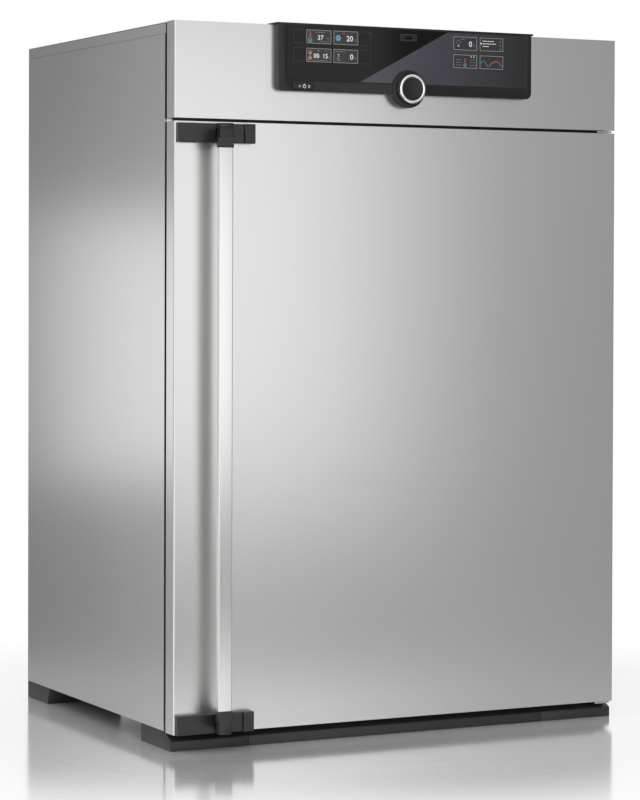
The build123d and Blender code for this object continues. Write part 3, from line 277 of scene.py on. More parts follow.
BLACK = (0.014, 0.0145, 0.015)
PANEL_BLACK = (0.009, 0.009, 0.0095)
SILICONE_GREY = (0.11, 0.11, 0.115)
DISPLAY_BLACK = (0.006, 0.006, 0.007)
finishes["black_plastic"] = moulded("grained black plastic", BLACK, 0.42, 1900, 0.12 * MM)
finishes["panel_plastic"] = moulded("smooth black plastic", PANEL_BLACK, 0.36, 2600, 0.05 * MM, 0.35)
finishes["silicone"] = moulded("grey silicone", SILICONE_GREY, 0.62, 900, 0.08 * MM)
finishes["display"] = moulded("dark display", DISPLAY_BLACK, 0.25, 3000, 0.01 * MM, 0.3)
print("plastics and rubber made")

# %% [markdown]
# The polished ring round the knob is turned on a lathe, so its marks are circles about the knob's axis.
# The distance from that axis gives the rings: a wave over the radius goes into the bump. The axis is
# read from the frame.

# %% Turned metal
ring_low, ring_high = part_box("knob_ring")
knob_x = (ring_low.x + ring_high.x) / 2
knob_z = (ring_low.z + ring_high.z) / 2
TURNING_PITCH = 0.35 * MM


def turned_metal():
    recipe = Recipe("turned bright metal")
    x, y, z = recipe.axes()
    radius = ((x - knob_x) ** 2 + (z - knob_z) ** 2) ** 0.5
    rings = (radius * (2 * math.pi / TURNING_PITCH)).math("SINE") * 0.5 + 0.5
    recipe.set(Metallic=1.0, Base_Color=recipe.blend(rings, (0.8, 0.78, 0.75), (0.88, 0.87, 0.84)))
    recipe.roughen(0.155, (rings, 0.05))
    recipe.bump(rings, 0.06, 0.03 * MM)
    return recipe.material


finishes["ring_metal"] = turned_metal()
print("knob axis at", round(knob_x, 4), round(knob_z, 4))

# %% [markdown]
# Mineral wool is matted fibre, the heaters are flat red-brown silicone and the boards are green
# lacquer. They are inside closed walls, and still get a finish of their own, because a part in a
# library may be taken apart. The inner door's glass is clear, with a trace of green.

# %% Inner materials
TRACK_WAVES = 900  # radians in a metre, so a track every 7 mm


def wool():
    recipe = Recipe("mineral wool")
    fibres = recipe.noise(160, stretch=(0.25, 1, 1), detail=5, roughness=0.8)
    recipe.set(Base_Color=recipe.blend(fibres, (0.5, 0.43, 0.24), (0.78, 0.72, 0.5)), Roughness=0.95)
    recipe.bump(fibres, 0.8, 2 * MM)
    return recipe.material


def circuit():
    recipe = Recipe("green circuit board")
    x, y, z = recipe.axes()
    lines = (x * TRACK_WAVES).math("SINE") > 0.75
    fields = recipe.noise(60) > 0.5
    recipe.set(Base_Color=recipe.blend(lines * fields, (0.012, 0.11, 0.05), (0.05, 0.26, 0.13)))
    recipe.set(Roughness=0.35)
    return recipe.material


def safety_glass():
    recipe = Recipe("clear toughened glass")
    film = recipe.noise(5, detail=2)
    recipe.set(Base_Color=(0.9, 0.96, 0.94), IOR=1.5, Transmission_Weight=1.0)
    recipe.roughen(0.01, (film, 0.02))
    return recipe.material


finishes["wool"] = wool()
finishes["heater"] = moulded("heating mat", (0.34, 0.12, 0.05), 0.6, 700, 0.1 * MM)
finishes["circuit"] = circuit()
finishes["clear_glass"] = safety_glass()
print("inner materials made")

# %% [markdown]
# The control panel is one dark pane. From the left it is nearly black, and a lighter slate field begins
# at a straight slanting line behind the knob. The field is a painted reflection, a mask in the pane's
# colour: whether a point lies to the right of the line. The painted reflection dims towards the right
# end, and a low roughness gives the sharp gloss over it.

# %% Control panel glass with a painted reflection
pane_low, pane_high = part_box("display_glass")
# The slanting line bounds a painted reflection on the pane; these are its two ends.
REFLECTION_FOOT = -0.0895  # X where the slanting line meets the pane's lower edge
REFLECTION_HEAD = 0.074  # X where it meets the upper edge


def glass_with_painted_reflection():
    recipe = Recipe("panel glass with painted reflection")
    x, y, z = recipe.axes()
    rise = (z - pane_low.z) / (pane_high.z - pane_low.z)
    line = rise * (REFLECTION_HEAD - REFLECTION_FOOT) + REFLECTION_FOOT
    # field is the painted reflection: a lighter slate wherever a point lies right of the line
    field = x > line
    reflection_fall = {"Value": x, "From Min": 0.0, "From Max": pane_high.x, "To Min": 1.0, "To Max": 0.0}
    reflection_dimming = recipe.node("ShaderNodeMapRange", inputs=reflection_fall)
    reflected_slate = recipe.blend(reflection_dimming, (0.026, 0.029, 0.03), (0.075, 0.072, 0.09))
    recipe.set(Base_Color=recipe.blend(field, (0.003, 0.003, 0.0034), reflected_slate))
    recipe.set(Specular_IOR_Level=0.22)
    recipe.roughen(0.095, (recipe.noise(6), 0.03))
    return recipe.material


finishes["panel_glass"] = glass_with_painted_reflection()
print("panel glass from", round(pane_low.x, 3), "to", round(pane_high.x, 3))

# %% [markdown]
# Each frame node names its material slot in the record. One loop gives every node its finish, so none
# is left plain.

# %% Finishes on the frame
slot_of = {row["node"]: row["material_slot"] for row in frame["record"]["subparts"]}
nodes = frame["nodes"]


def dress(piece, material):
    """Gives a piece one finish in place of what it had."""
    piece.data.materials.clear()
    piece.data.materials.append(material)


for name, node in nodes.items():
    dress(node, finishes[slot_of[name]])
print(len(nodes), "nodes dressed")

# %% [markdown]
# Real plastic and folded steel have no knife edges: a thin highlight runs along each one. A copy of the
# frame's mesh is merged, its flat triangles are dissolved into whole faces, and a bevel rounds the
# edges. The copy then stands for the node. The same helper serves every such piece, with its own width.

# %% Softened edges
MERGE_DISTANCE = 0.002 * MM
FLAT_ANGLE = math.radians(0.5)
SMOOTH_ANGLE = math.radians(40)
WIDE_EDGE = 1.0  # mm, from which an edge is round enough for more segments
FEW_SEGMENTS = 2
MANY_SEGMENTS = 6


def only(piece):
    """Makes one object the active and only selected one."""
    bpy.ops.object.select_all(action="DESELECT")
    piece.select_set(True)
    bpy.context.view_layer.objects.active = piece


def finish_piece(piece, name, body, slot, material=None):
    """Gives a new piece its name, finish and body, with its place in its mesh."""
    only(piece)
    bpy.ops.object.transform_apply(location=True, rotation=True, scale=True)
    piece.name = name
    piece.data.name = name
    dress(piece, material or finishes[slot])
    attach(piece, body)
    return piece


def merge_faces():
    """In edit mode: joins loose triangles and dissolves flat ones into whole faces."""
    bpy.ops.mesh.select_all(action="SELECT")
    bpy.ops.mesh.remove_doubles(threshold=MERGE_DISTANCE)
    bpy.ops.mesh.dissolve_limited(angle_limit=FLAT_ANGLE)


def apply_bevel(piece, width, segments, limit):
    """Rounds the edges that are sharper than limit, in degrees."""
    made = piece.modifiers.new("Bevel", "BEVEL")
    made.width = width
    made.segments = segments
    made.limit_method = "ANGLE"
    made.angle_limit = math.radians(limit)
    only(piece)
    bpy.ops.object.modifier_apply(modifier=made.name)


def soften(name, width, segments, limit=35):
    """Stands a softly edged copy in for a node of the frame."""
    node = nodes[name]
    only(node)
    bpy.ops.object.duplicate()
    piece = bpy.context.object
    del piece["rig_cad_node"]
    piece.parent = None
    bpy.ops.object.mode_set(mode="EDIT")
    merge_faces()
    bpy.ops.object.mode_set(mode="OBJECT")
    apply_bevel(piece, width, segments, limit)
    bpy.ops.object.shade_smooth_by_angle(angle=SMOOTH_ANGLE)
    finish_piece(piece, name + "_soft", node["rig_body"], slot_of[name])
    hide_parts(name)
    return piece


# How wide each piece's rounded edge is, in mm
edge_widths = {
    "upper_lock_bracket": 0.7, "lower_lock_bracket": 0.7, "upper_handle_cap": 0.6, "lower_handle_cap": 0.6,
    "front_feet": 0.8, "rear_feet": 0.8, "front_plinth": 0.8, "cockpit_housing": 0.7, "power_button": 0.3,
    "knob_ring": 2.0, "knob_cap": 0.3, "glass_latch": 0.4, "mains_inlet": 0.3,
    "network_socket": 0.3, "glass_clamps": 0.3, "glass_fittings": 0.3, "latch_strikers": 0.2,
}
for name, width in edge_widths.items():
    piece = soften(name, width * MM, FEW_SEGMENTS if width < WIDE_EDGE else MANY_SEGMENTS)
    print(piece.name, len(piece.data.polygons), "faces")
BAR_EDGE = 2.2 * MM
bar = soften("handle_bar", BAR_EDGE, segments=4, limit=60)
print(bar.name, len(bar.data.polygons), "faces")

# %% [markdown]
# The lit display is made of small flat marks just in front of the pane: tiles with a thin border, round
# and straight signs, and plain numerals. Each mark is a plane or a circle added at its place, marks of
# one colour are joined, and Solidify gives them a fifth of a millimetre. Real geometry stays crisp in
# close views, where a painted mask would blur.

# %% Flat marks
GLASS_FRONT = pane_low.y
FLAT = 0.2 * MM
FACING = (math.pi / 2, 0, 0)


def mark_bar(x, z, width, height, turn=0.0):
    """A rectangle, turned in its own plane by degrees."""
    tilt = (math.pi / 2, -math.radians(turn), 0)
    bpy.ops.mesh.primitive_plane_add(size=1, location=(x, 0, z), rotation=tilt)
    made = bpy.context.object
    made.scale = (width, height, 1)
    return made


def mark_disc(x, z, radius, corners, facing=FACING):
    """A flat disc, or with three corners a triangle."""
    bpy.ops.mesh.primitive_circle_add(
        vertices=corners, radius=radius, fill_type="NGON", location=(x, 0, z), rotation=facing
    )
    return bpy.context.object


def mark_ring(x, z, radius, width, corners=28):
    """A ring: a disc whose face is inset and whose middle is deleted."""
    made = mark_disc(x, z, radius, corners)
    bpy.ops.object.mode_set(mode="EDIT")
    bpy.ops.mesh.select_all(action="SELECT")
    bpy.ops.mesh.inset(thickness=width)
    bpy.ops.mesh.delete(type="FACE")
    bpy.ops.object.mode_set(mode="OBJECT")
    return made


def mark_line(x0, z0, x1, z1, width):
    """A straight stroke between two points."""
    length = math.hypot(x1 - x0, z1 - z0)
    turn = math.degrees(math.atan2(z1 - z0, x1 - x0))
    return mark_bar((x0 + x1) / 2, (z0 + z1) / 2, length, width, turn)


def mark_border(x0, x1, z0, z1, width):
    """The four sides of a rectangle's border."""
    middle_x, middle_z = (x0 + x1) / 2, (z0 + z1) / 2
    w, h = x1 - x0, z1 - z0
    return [
        mark_bar(middle_x, z1 - width / 2, w, width),
        mark_bar(middle_x, z0 + width / 2, w, width),
        mark_bar(x0 + width / 2, middle_z, width, h - 2 * width),
        mark_bar(x1 - width / 2, middle_z, width, h - 2 * width),
    ]


def join_all(parts):
    """Makes one mesh of several, with their places in it."""
    bpy.ops.object.select_all(action="DESELECT")
    for part in parts:
        part.select_set(True)
    bpy.context.view_layer.objects.active = parts[0]
    bpy.ops.object.transform_apply(location=True, rotation=True, scale=True)
    if len(parts) > 1:
        bpy.ops.object.join()
    return bpy.context.object


def print_marks(name, parts, material, lift, body="root", front=GLASS_FRONT):
    """Joins flat marks into one thin piece that stands lift in front of a face."""
    piece = join_all(parts)
    made = piece.modifiers.new("Solidify", "SOLIDIFY")
    made.thickness = FLAT
    made.offset = 0
    bpy.ops.object.modifier_apply(modifier=made.name)
    piece.location.y = front - lift - FLAT / 2
    finish_piece(piece, name, body, "display", material)


print("marks stand from", round(1000 * GLASS_FRONT, 2), "mm forwards")

# %% [markdown]
# A lit sign shines by itself, so its colour goes to the emission as well. A soft noise takes a little
# from it, as the dots of a screen do.

# %% Lit colours
def lit(name, colour, glow):
    """A colour that shines, dimmed here and there by the screen's dots."""
    recipe = Recipe(name)
    dots = recipe.noise(2200, detail=0)
    dim = [c * 0.8 for c in colour]
    shown = recipe.blend(dots, dim, colour)
    recipe.set(Base_Color=shown, Emission_Color=shown, Emission_Strength=glow, Roughness=0.3)
    return recipe.material


lights = {
    "white": lit("lit white", (0.62, 0.64, 0.66), 0.55),
    "grey": lit("lit grey", (0.17, 0.17, 0.18), 0.4),
    "frame": lit("tile border", (0.26, 0.26, 0.27), 0.4),
    "faint": lit("touch zone line", (0.032, 0.032, 0.03), 0.3),
    "tile": lit("tile ground", (0.019, 0.019, 0.0205), 0.3),
    "red": lit("lit red", (0.3, 0.045, 0.06), 0.5),
    "teal": lit("lit teal", (0.03, 0.17, 0.17), 0.5),
    "blue": lit("lit blue", (0.085, 0.25, 0.37), 0.5),
    "amber": lit("lit amber", (0.32, 0.16, 0.075), 0.45),
}
print(len(lights), "lit colours")

# %% [markdown]
# Eight tiles sit in two groups of four, and a faint bracket at either end of a group's rows marks a
# touch zone. The ground of a tile is one bar and its border four. The places are estimated from the
# real panel and given in millimetres from the cabinet's middle and the floor.

# %% Tiles and touch zones
TILE_WIDTH = 44.5 * MM
TILE_HEIGHT = 22.0 * MM
BORDER = 0.7 * MM
tile_columns = [-187.0 * MM, -138.0 * MM, 84.8 * MM, 135.2 * MM]
tile_rows = [1131.0 * MM, 1101.3 * MM]
zone_edges = [(-209.7 * MM, 1), (-70.0 * MM, -1), (62.0 * MM, 1), (202.0 * MM, -1)]
ZONE_DEPTH = 17 * MM
ZONE_LINE = 0.6 * MM

grounds, borders, zones = [], [], []
for z0 in tile_rows:
    for x0 in tile_columns:
        grounds.append(mark_bar(x0 + TILE_WIDTH / 2, z0 + TILE_HEIGHT / 2, TILE_WIDTH, TILE_HEIGHT))
        borders += mark_border(x0, x0 + TILE_WIDTH, z0, z0 + TILE_HEIGHT, BORDER)
    for edge, side in zone_edges:
        middle = edge + side * ZONE_DEPTH / 2
        zones.append(mark_bar(edge, z0 + TILE_HEIGHT / 2, ZONE_LINE, TILE_HEIGHT))
        zones.append(mark_bar(middle, z0, ZONE_DEPTH, ZONE_LINE))
        zones.append(mark_bar(middle, z0 + TILE_HEIGHT, ZONE_DEPTH, ZONE_LINE))
print_marks("tile_grounds", grounds, lights["tile"], 0)
print_marks("tile_borders", borders, lights["frame"], FLAT)
print_marks("touch_zone_lines", zones, lights["faint"], 0)
print("tiles:", len(grounds), "border bars:", len(borders), "zone lines:", len(zones))

# %% [markdown]
# Plain numerals show the readings: temperature, fan, time, flap and light. A text object is the
# quickest way to such shapes. It becomes a mesh at once, like every other mark, and its offset thickens
# the strokes.

# %% Readings
NUMERAL_SHARE = 0.72  # a numeral's height in the font's size


def mark_text(body, right, foot, height, weight=0.0):
    """Numerals that end at right and stand on foot."""
    bpy.ops.object.text_add(location=(right, 0, foot), rotation=FACING)
    made = bpy.context.object
    made.data.body = body
    made.data.size = height / NUMERAL_SHARE
    made.data.align_x = "RIGHT"
    made.data.offset = weight
    made.data.resolution_u = 4
    bpy.ops.object.convert(target="MESH")
    return bpy.context.object


UNIT_HEIGHT = 3.8 * MM
STROKE_WEIGHT = 0.06 * MM
left_1, left_2, right_1, right_2 = tile_columns
row_1, row_2 = tile_rows
readings = [
    ("37", left_1 + 30.5 * MM, row_1 + 6 * MM, 7.8 * MM),
    ("20", left_2 + 35.5 * MM, row_1 + 6 * MM, 8.8 * MM),
    ("00", left_1 + 23 * MM, row_2 + 6.5 * MM, 7.4 * MM),
    ("15", left_1 + 39 * MM, row_2 + 6.5 * MM, 7.4 * MM),
    ("0", left_2 + 36 * MM, row_2 + 6 * MM, 9 * MM),
    ("0", right_1 + 35.5 * MM, row_1 + 6 * MM, 9 * MM),
]
units = [
    ("°C", left_1 + 41.5 * MM, row_1 + 6 * MM),
    ("%", left_2 + 42 * MM, row_1 + 6 * MM),
    ("h", left_1 + 25.6 * MM, row_2 + 6.5 * MM),
    ("m", left_1 + 42.4 * MM, row_2 + 6.5 * MM),
    ("%", left_2 + 41.5 * MM, row_2 + 6.5 * MM),
    ("%", right_1 + 41.5 * MM, row_1 + 6.5 * MM),
]
numerals = [mark_text(body, x, z, height, STROKE_WEIGHT) for body, x, z, height in readings]
print_marks("readings", numerals, lights["white"], FLAT)
small = [mark_text(body, x, z, UNIT_HEIGHT) for body, x, z in units]
print_marks("units", small, lights["grey"], FLAT)
print("readings:", [row[0] for row in readings])

# %% [markdown]
# The signs beside the readings are a thermometer, a fan, an hourglass, a flap and a lamp. Each is a few
# discs, rings and strokes, sorted by colour. At this size a sign needs only its outline to be read.

# %% Signs
signs = {colour: [] for colour in ("white", "grey", "red", "teal", "blue", "amber")}


def draw(colour, *parts):
    """Adds marks to the signs of one colour."""
    signs[colour].extend(parts)


def thermometer_sign(x, z, height):
    """A tube, red above and teal below, over a ringed bulb."""
    stem = height * 0.7
    tube = height * 0.2
    bulb = z + height * 0.16
    draw("red", mark_bar(x, z + height - stem / 3, tube, stem * 0.62), mark_disc(x, z + height, tube / 2, 12))
    draw("teal", mark_bar(x, z + height * 0.35, tube, stem * 0.45), mark_disc(x, bulb, tube, 16))
    draw("grey", mark_ring(x, bulb, height * 0.27, height * 0.05, 18))


def fan_sign(x, z, radius, blades=6):
    """Round blades about a hub."""
    reach = radius * 0.58
    for number in range(blades):
        turn = number * 2 * math.pi / blades
        blade_x = x + reach * math.cos(turn)
        blade_z = z + reach * math.sin(turn)
        draw("blue", mark_disc(blade_x, blade_z, radius * 0.33, 12))
    draw("grey", mark_ring(x, z, radius * 0.3, radius * 0.12, 16))


def hourglass_sign(x, z, height):
    """Two triangles, tip to tip, each on its plate."""
    w = height * 0.26
    for half, facing in ((-1, FACING), (1, (math.pi / 2, math.pi, 0))):
        draw("amber", mark_disc(x, z + half * height * 0.22, w * 1.15, 3, facing))
        draw("grey", mark_bar(x, z + half * height * 0.47, w * 2, height * 0.07))


def flap_sign(x, z, height):
    """A slanting flap across a pipe, over a foot."""
    reach, rise = height * 0.3, height * 0.2
    draw("grey", mark_bar(x, z, height * 0.1, height * 0.8))
    draw("grey", mark_line(x - reach, z - rise, x + reach, z + rise, height * 0.12))
    draw("grey", mark_bar(x, z - height * 0.48, height * 0.7, height * 0.08))
    draw("white", mark_disc(x, z + height * 0.42, height * 0.1, 12))


def lamp_sign(x, z, radius):
    """A bulb over its cap."""
    draw("grey", mark_ring(x, z, radius, radius * 0.14))
    draw("grey", mark_bar(x, z - radius * 1.2, radius * 0.9, radius * 0.22))
    draw("white", mark_bar(x, z - radius * 1.6, radius * 0.7, radius * 0.3))


def dashes(colour, x, z, lengths, height=0.7 * MM):
    """A row of short strokes, which reads as small print from afar."""
    for length in lengths:
        draw(colour, mark_bar(x + length / 2, z, length, height))
        x += length + DASH_GAP


SIGN_X = 6.5 * MM
DASH_GAP = 0.8 * MM
thermometer_sign(left_1 + SIGN_X, row_1 + 3 * MM, 15 * MM)
fan_sign(left_2 + SIGN_X + 2 * MM, row_1 + 10.5 * MM, 5.6 * MM)
hourglass_sign(left_1 + SIGN_X, row_2 + 10.5 * MM, 15 * MM)
flap_sign(left_2 + SIGN_X + 2.5 * MM, row_2 + 9 * MM, 10 * MM)
lamp_sign(right_1 + 9.5 * MM, row_1 + 12.5 * MM, 3.8 * MM)
small_print = [
    ("grey", left_1 + 16 * MM, row_1 + 18.3 * MM, [5, 3, 7]),
    ("grey", left_1 + 24 * MM, row_1 + 3.5 * MM, [4, 7, 4]),
    ("red", left_2 + 16 * MM, row_1 + 18.8 * MM, [5.5]),
    ("amber", left_1 + 19 * MM, row_2 + 18.3 * MM, [5]),
    ("grey", left_1 + 33 * MM, row_2 + 18.3 * MM, [4]),
    ("grey", left_1 + 13 * MM, row_2 + 3 * MM, [6, 4, 8, 5]),
    ("grey", left_2 + 4 * MM, row_2 + 18.3 * MM, [7, 10]),
    ("grey", right_1 + 14 * MM, row_1 + 18.3 * MM, [8]),
]
for colour, x, z, lengths in small_print:
    dashes(colour, x, z, [length * MM for length in lengths])
print({colour: len(parts) for colour, parts in signs.items()})

# %% [markdown]
# The last three tiles have no numerals: a list with a scroll column, an overview with a small
# thermometer, and a chart of past values. The chart's curves are strokes between points of a formula.

# %% List, overview and chart
LINE_PITCH = 4.4 * MM
DOT_PITCH = 6 * MM
list_lines = [[9 * MM, 3 * MM, 8 * MM], [7 * MM, 11 * MM, 6 * MM], [12 * MM]]
for number, lengths in enumerate(list_lines):
    dashes("white", right_2 + 5 * MM, row_1 + 16.5 * MM - number * LINE_PITCH, lengths, 0.9 * MM)
draw("white", mark_bar(right_2 + 2.6 * MM, row_1 + 12.2 * MM, 2.6 * MM, 2.2 * MM))
for number in range(3):
    draw("grey", mark_disc(right_2 + 39 * MM, row_1 + 4 * MM + number * DOT_PITCH, 1.2 * MM, 10))
thermometer_sign(right_1 + 22 * MM, row_2 + 3 * MM, 12 * MM)
for side in (5 * MM, 31 * MM):
    for number in range(3):
        dashes("grey", right_1 + side, row_2 + 5 * MM + number * LINE_PITCH, [4 * MM, 5 * MM])
for side in (34 * MM, 39 * MM):
    draw("white", mark_disc(right_1 + side, row_2 + 19 * MM, 0.9 * MM, 10))

CHART_STEPS = 14


def curve(colour, x0, x1, base, swing, waves, width):
    """A chart curve of short strokes: a sine of so many half waves about a base line."""
    shares = [step / CHART_STEPS for step in range(CHART_STEPS + 1)]
    points = [(x0 + (x1 - x0) * s, base + swing * math.sin(waves * math.pi * s)) for s in shares]
    for here, there in zip(points, points[1:]):
        draw(colour, mark_line(*here, *there, width))


curve("teal", right_2 + 2 * MM, right_2 + 17 * MM, row_2 + 9 * MM, 4.5 * MM, 1.6, 1.4 * MM)
curve("amber", right_2 + 18 * MM, right_2 + 42 * MM, row_2 + 5 * MM, 8 * MM, 1.0, 0.8 * MM)
curve("red", right_2 + 20 * MM, right_2 + 40 * MM, row_2 + 12 * MM, -3 * MM, 2.0, 0.5 * MM)
for colour, parts in signs.items():
    print_marks("signs_" + colour, parts, lights[colour], FLAT)
print("signs printed in", len(signs), "colours")

# %% [markdown]
# The power key carries three small signs: two short bars, a ring with a stroke through its top, and a
# dot over a bar. They ride on the key, so they go in with it when it is pressed.

# %% Signs on the power key
key_low, key_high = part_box("power_button")
ROW_SHIFT_X = 2 * MM  # the row of signs lies a little right of the key's middle, and lower
ROW_SHIFT_Z = -0.6 * MM
SIGN_STEP = 8.5 * MM
STROKE = 0.7 * MM
key_x = (key_low.x + key_high.x) / 2 + ROW_SHIFT_X
key_z = (key_low.z + key_high.z) / 2 + ROW_SHIFT_Z
marks = [
    mark_bar(key_x - SIGN_STEP, key_z + 1.1 * MM, 2.6 * MM, STROKE),
    mark_bar(key_x - SIGN_STEP, key_z - 1.1 * MM, 2.6 * MM, STROKE),
    mark_ring(key_x, key_z, 3 * MM, STROKE),
    mark_bar(key_x, key_z + 2.4 * MM, STROKE, 3 * MM),
    mark_bar(key_x + SIGN_STEP, key_z - 1.7 * MM, 3.4 * MM, STROKE),
    mark_disc(key_x + SIGN_STEP, key_z + 0.8 * MM, 1.1 * MM, 14),
]
print_marks("power_key_signs", marks, lights["white"], 0, "power_button", key_low.y)
print("power key", round(1000 * (key_high.x - key_low.x)), "mm wide")

# %% [markdown]
# A drawn outline round the front socket shows where its cover is, and the socket itself stays dark.

# %% Outline of the front socket
usb_low, usb_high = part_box("usb_socket")
outline = mark_border(usb_low.x, usb_high.x, usb_low.z, usb_high.z, BORDER)
print_marks("front_socket_outline", outline, lights["faint"], 0, front=usb_low.y)
print("front socket", round(1000 * (usb_high.x - usb_low.x)), "mm wide")

# %% [markdown]
# A black strip behind the gap between the door and the panel above it is painted shade: it keeps the
# gap dark. It is a box a little shorter than the door is wide, with bevelled edges.

# %% Painted shade behind the gap over the door
door_low, door_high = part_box("door_outer_panel")
fascia_low, fascia_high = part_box("fascia_panel")
frame_low, frame_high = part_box("front_frame")
SHADE_STRIP_DEPTH = 5 * MM
SHADE_STRIP_END = 14 * MM
SHADE_STRIP_LAP = 2 * MM
gap = fascia_low.z - door_high.z
# The black box stands in for the shade in the gap: painted shade.
bpy.ops.mesh.primitive_cube_add(size=1)
shade_strip = bpy.context.object
shade_strip.scale = (door_high.x - door_low.x - 2 * SHADE_STRIP_END, SHADE_STRIP_DEPTH, gap + 2 * SHADE_STRIP_LAP)
shade_strip.location = (0, frame_low.y - SHADE_STRIP_DEPTH / 2, (door_high.z + fascia_low.z) / 2)
bpy.ops.object.transform_apply(location=True, rotation=True, scale=True)
apply_bevel(shade_strip, 1 * MM, 3, 60)
bpy.ops.object.shade_smooth_by_angle(angle=SMOOTH_ANGLE)
finish_piece(shade_strip, "gap_shade_strip", "root", "black_plastic")
print("strip behind a gap of", round(1000 * gap, 1), "mm")

# %% [markdown]
# Pan-head screws hold the back. Each is made from a cylinder: a bevel rounds the crown, and two thin
# boxes, one across the other, are cut out of it with a Boolean for the cross recess. One screw is the
# model and the rest are copies with their own meshes, set on the frame's screws.

# %% Screw heads at the back
SCREW_RADIUS = 4.5 * MM
SCREW_HEIGHT = 2.0 * MM
SCREW_ROWS = 4
CROWN_SHARE = 0.45  # of the height
CROSS_REACH = 1.1  # of the radius
CROSS_WIDTH = 0.26  # of the radius
CRISP_ANGLE = math.radians(30)


def cross_screw(radius, height):
    """One head that looks along +Y, at the origin."""
    bpy.ops.mesh.primitive_cylinder_add(
        vertices=32, radius=radius, depth=height, location=(0, height / 2, 0), rotation=FACING
    )
    head = bpy.context.object
    bpy.ops.object.transform_apply(location=True, rotation=True, scale=True)
    apply_bevel(head, height * CROWN_SHARE, 3, 60)
    for turn in (0, math.pi / 2):
        bpy.ops.mesh.primitive_cube_add(size=1, location=(0, height, 0), rotation=(0, turn, 0))
        slot = bpy.context.object
        slot.scale = (radius * CROSS_REACH, height, radius * CROSS_WIDTH)
        cut = head.modifiers.new("Recess", "BOOLEAN")
        cut.operation = "DIFFERENCE"
        cut.object = slot
        only(head)
        bpy.ops.object.modifier_apply(modifier=cut.name)
        bpy.data.objects.remove(slot)
    bpy.ops.object.shade_smooth_by_angle(angle=CRISP_ANGLE)
    return head


def copies(model, places):
    """Copies of a model at places, each with its own mesh; the model goes."""
    made = []
    for place in places:
        piece = model.copy()
        piece.data = model.data.copy()
        bpy.context.collection.objects.link(piece)
        piece.matrix_world = Matrix.Translation(place)
        made.append(piece)
    bpy.data.objects.remove(model)
    return made


rear_low, rear_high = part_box("rear_screws")
lowest = rear_low.z + SCREW_RADIUS
row_pitch = (rear_high.z - rear_low.z - 2 * SCREW_RADIUS) / (SCREW_ROWS - 1)
columns = (rear_low.x + SCREW_RADIUS, rear_high.x - SCREW_RADIUS)
rows = [lowest + number * row_pitch for number in range(SCREW_ROWS)]
spots = [Vector((x, rear_low.y, z)) for z in rows for x in columns]
screws = copies(cross_screw(SCREW_RADIUS, SCREW_HEIGHT), spots)
rear_heads = finish_piece(join_all(screws), "rear_cross_screws", "root", "plain_steel")
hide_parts("rear_screws")
print(len(spots), "screws at the back")

# %% [markdown]
# Warm air of the electronics leaves through pressed louvres high on the back. A louvre is half a long
# drop of sheet, standing out: a flattened sphere is cut through its middle with bisect and keeps its
# upper, outer quarter. A Solidify modifier turns the skin into sheet.

# %% Louvres
LOUVRE_LENGTH = 90 * MM
LOUVRE_REACH = 6 * MM
LOUVRE_HEIGHT = 9 * MM
LOUVRE_PITCH = 16 * MM
LOUVRE_ROWS = 6
LOUVRE_SHEET = 0.8 * MM
LOUVRE_DROP = 60 * MM  # from the panel's upper edge to the first louvre
LOUVRES_X = -120 * MM
LOUVRE_SPREAD = 65 * MM  # from there to either column
back_low, back_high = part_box("rear_panel")


def louvre():
    """One louvre, open below, at the origin."""
    bpy.ops.mesh.primitive_uv_sphere_add(segments=40, ring_count=20, radius=1)
    made = bpy.context.object
    made.scale = (LOUVRE_LENGTH / 2, LOUVRE_REACH, LOUVRE_HEIGHT)
    bpy.ops.object.transform_apply(location=True, rotation=True, scale=True)
    bpy.ops.object.mode_set(mode="EDIT")
    for normal in ((0, -1, 0), (0, 0, -1)):
        bpy.ops.mesh.select_all(action="SELECT")
        bpy.ops.mesh.bisect(plane_co=(0, 0, 0), plane_no=normal, clear_outer=True)
    bpy.ops.object.mode_set(mode="OBJECT")
    shell = made.modifiers.new("Sheet", "SOLIDIFY")
    shell.thickness = LOUVRE_SHEET
    shell.offset = -1
    bpy.ops.object.modifier_apply(modifier=shell.name)
    bpy.ops.object.shade_smooth_by_angle(angle=SMOOTH_ANGLE)
    return made


top_row = back_high.z - LOUVRE_DROP
spots = [
    Vector((side * LOUVRE_SPREAD + LOUVRES_X, back_high.y, top_row - row * LOUVRE_PITCH))
    for row in range(LOUVRE_ROWS) for side in (-1, 1)
]
vents = finish_piece(join_all(copies(louvre(), spots)), "rear_louvres", "root", "zinc_sheet")
print(len(spots), "louvres,", len(vents.data.polygons), "faces")

# %% [markdown]
# The studio is plain: a pale floor, soft lamps and a white backdrop. The floor mirrors the cabinet's
# foot. It fades out between two thirds of a metre and a good metre from its middle, so it has no edge
# against the white.

# %% Floor
FLOOR_SIZE = 60
FADE_START = 0.68  # metres from the middle
FADE_END = 1.15


def floor_finish():
    recipe = Recipe("pale floor")
    marks = recipe.noise(3, detail=2)
    recipe.set(Base_Color=recipe.blend(marks, (0.86, 0.86, 0.86), (0.9, 0.9, 0.9)))
    recipe.set(Metallic=0.55, Specular_IOR_Level=1.0)
    recipe.roughen(0.12, (marks, 0.04))
    x, y, z = recipe.axes()
    away = (x ** 2 + y ** 2) ** 0.5
    fade = {"Value": away, "From Min": FADE_START, "From Max": FADE_END, "To Min": 1.0, "To Max": 0.0}
    recipe.set(Alpha=recipe.node("ShaderNodeMapRange", {"interpolation_type": "SMOOTHSTEP"}, fade))
    return recipe.material


bpy.ops.mesh.primitive_plane_add(size=FLOOR_SIZE, location=(0, 0, 0))
floor = bpy.context.object
floor.name = "floor"
dress(floor, floor_finish())
print("floor added")

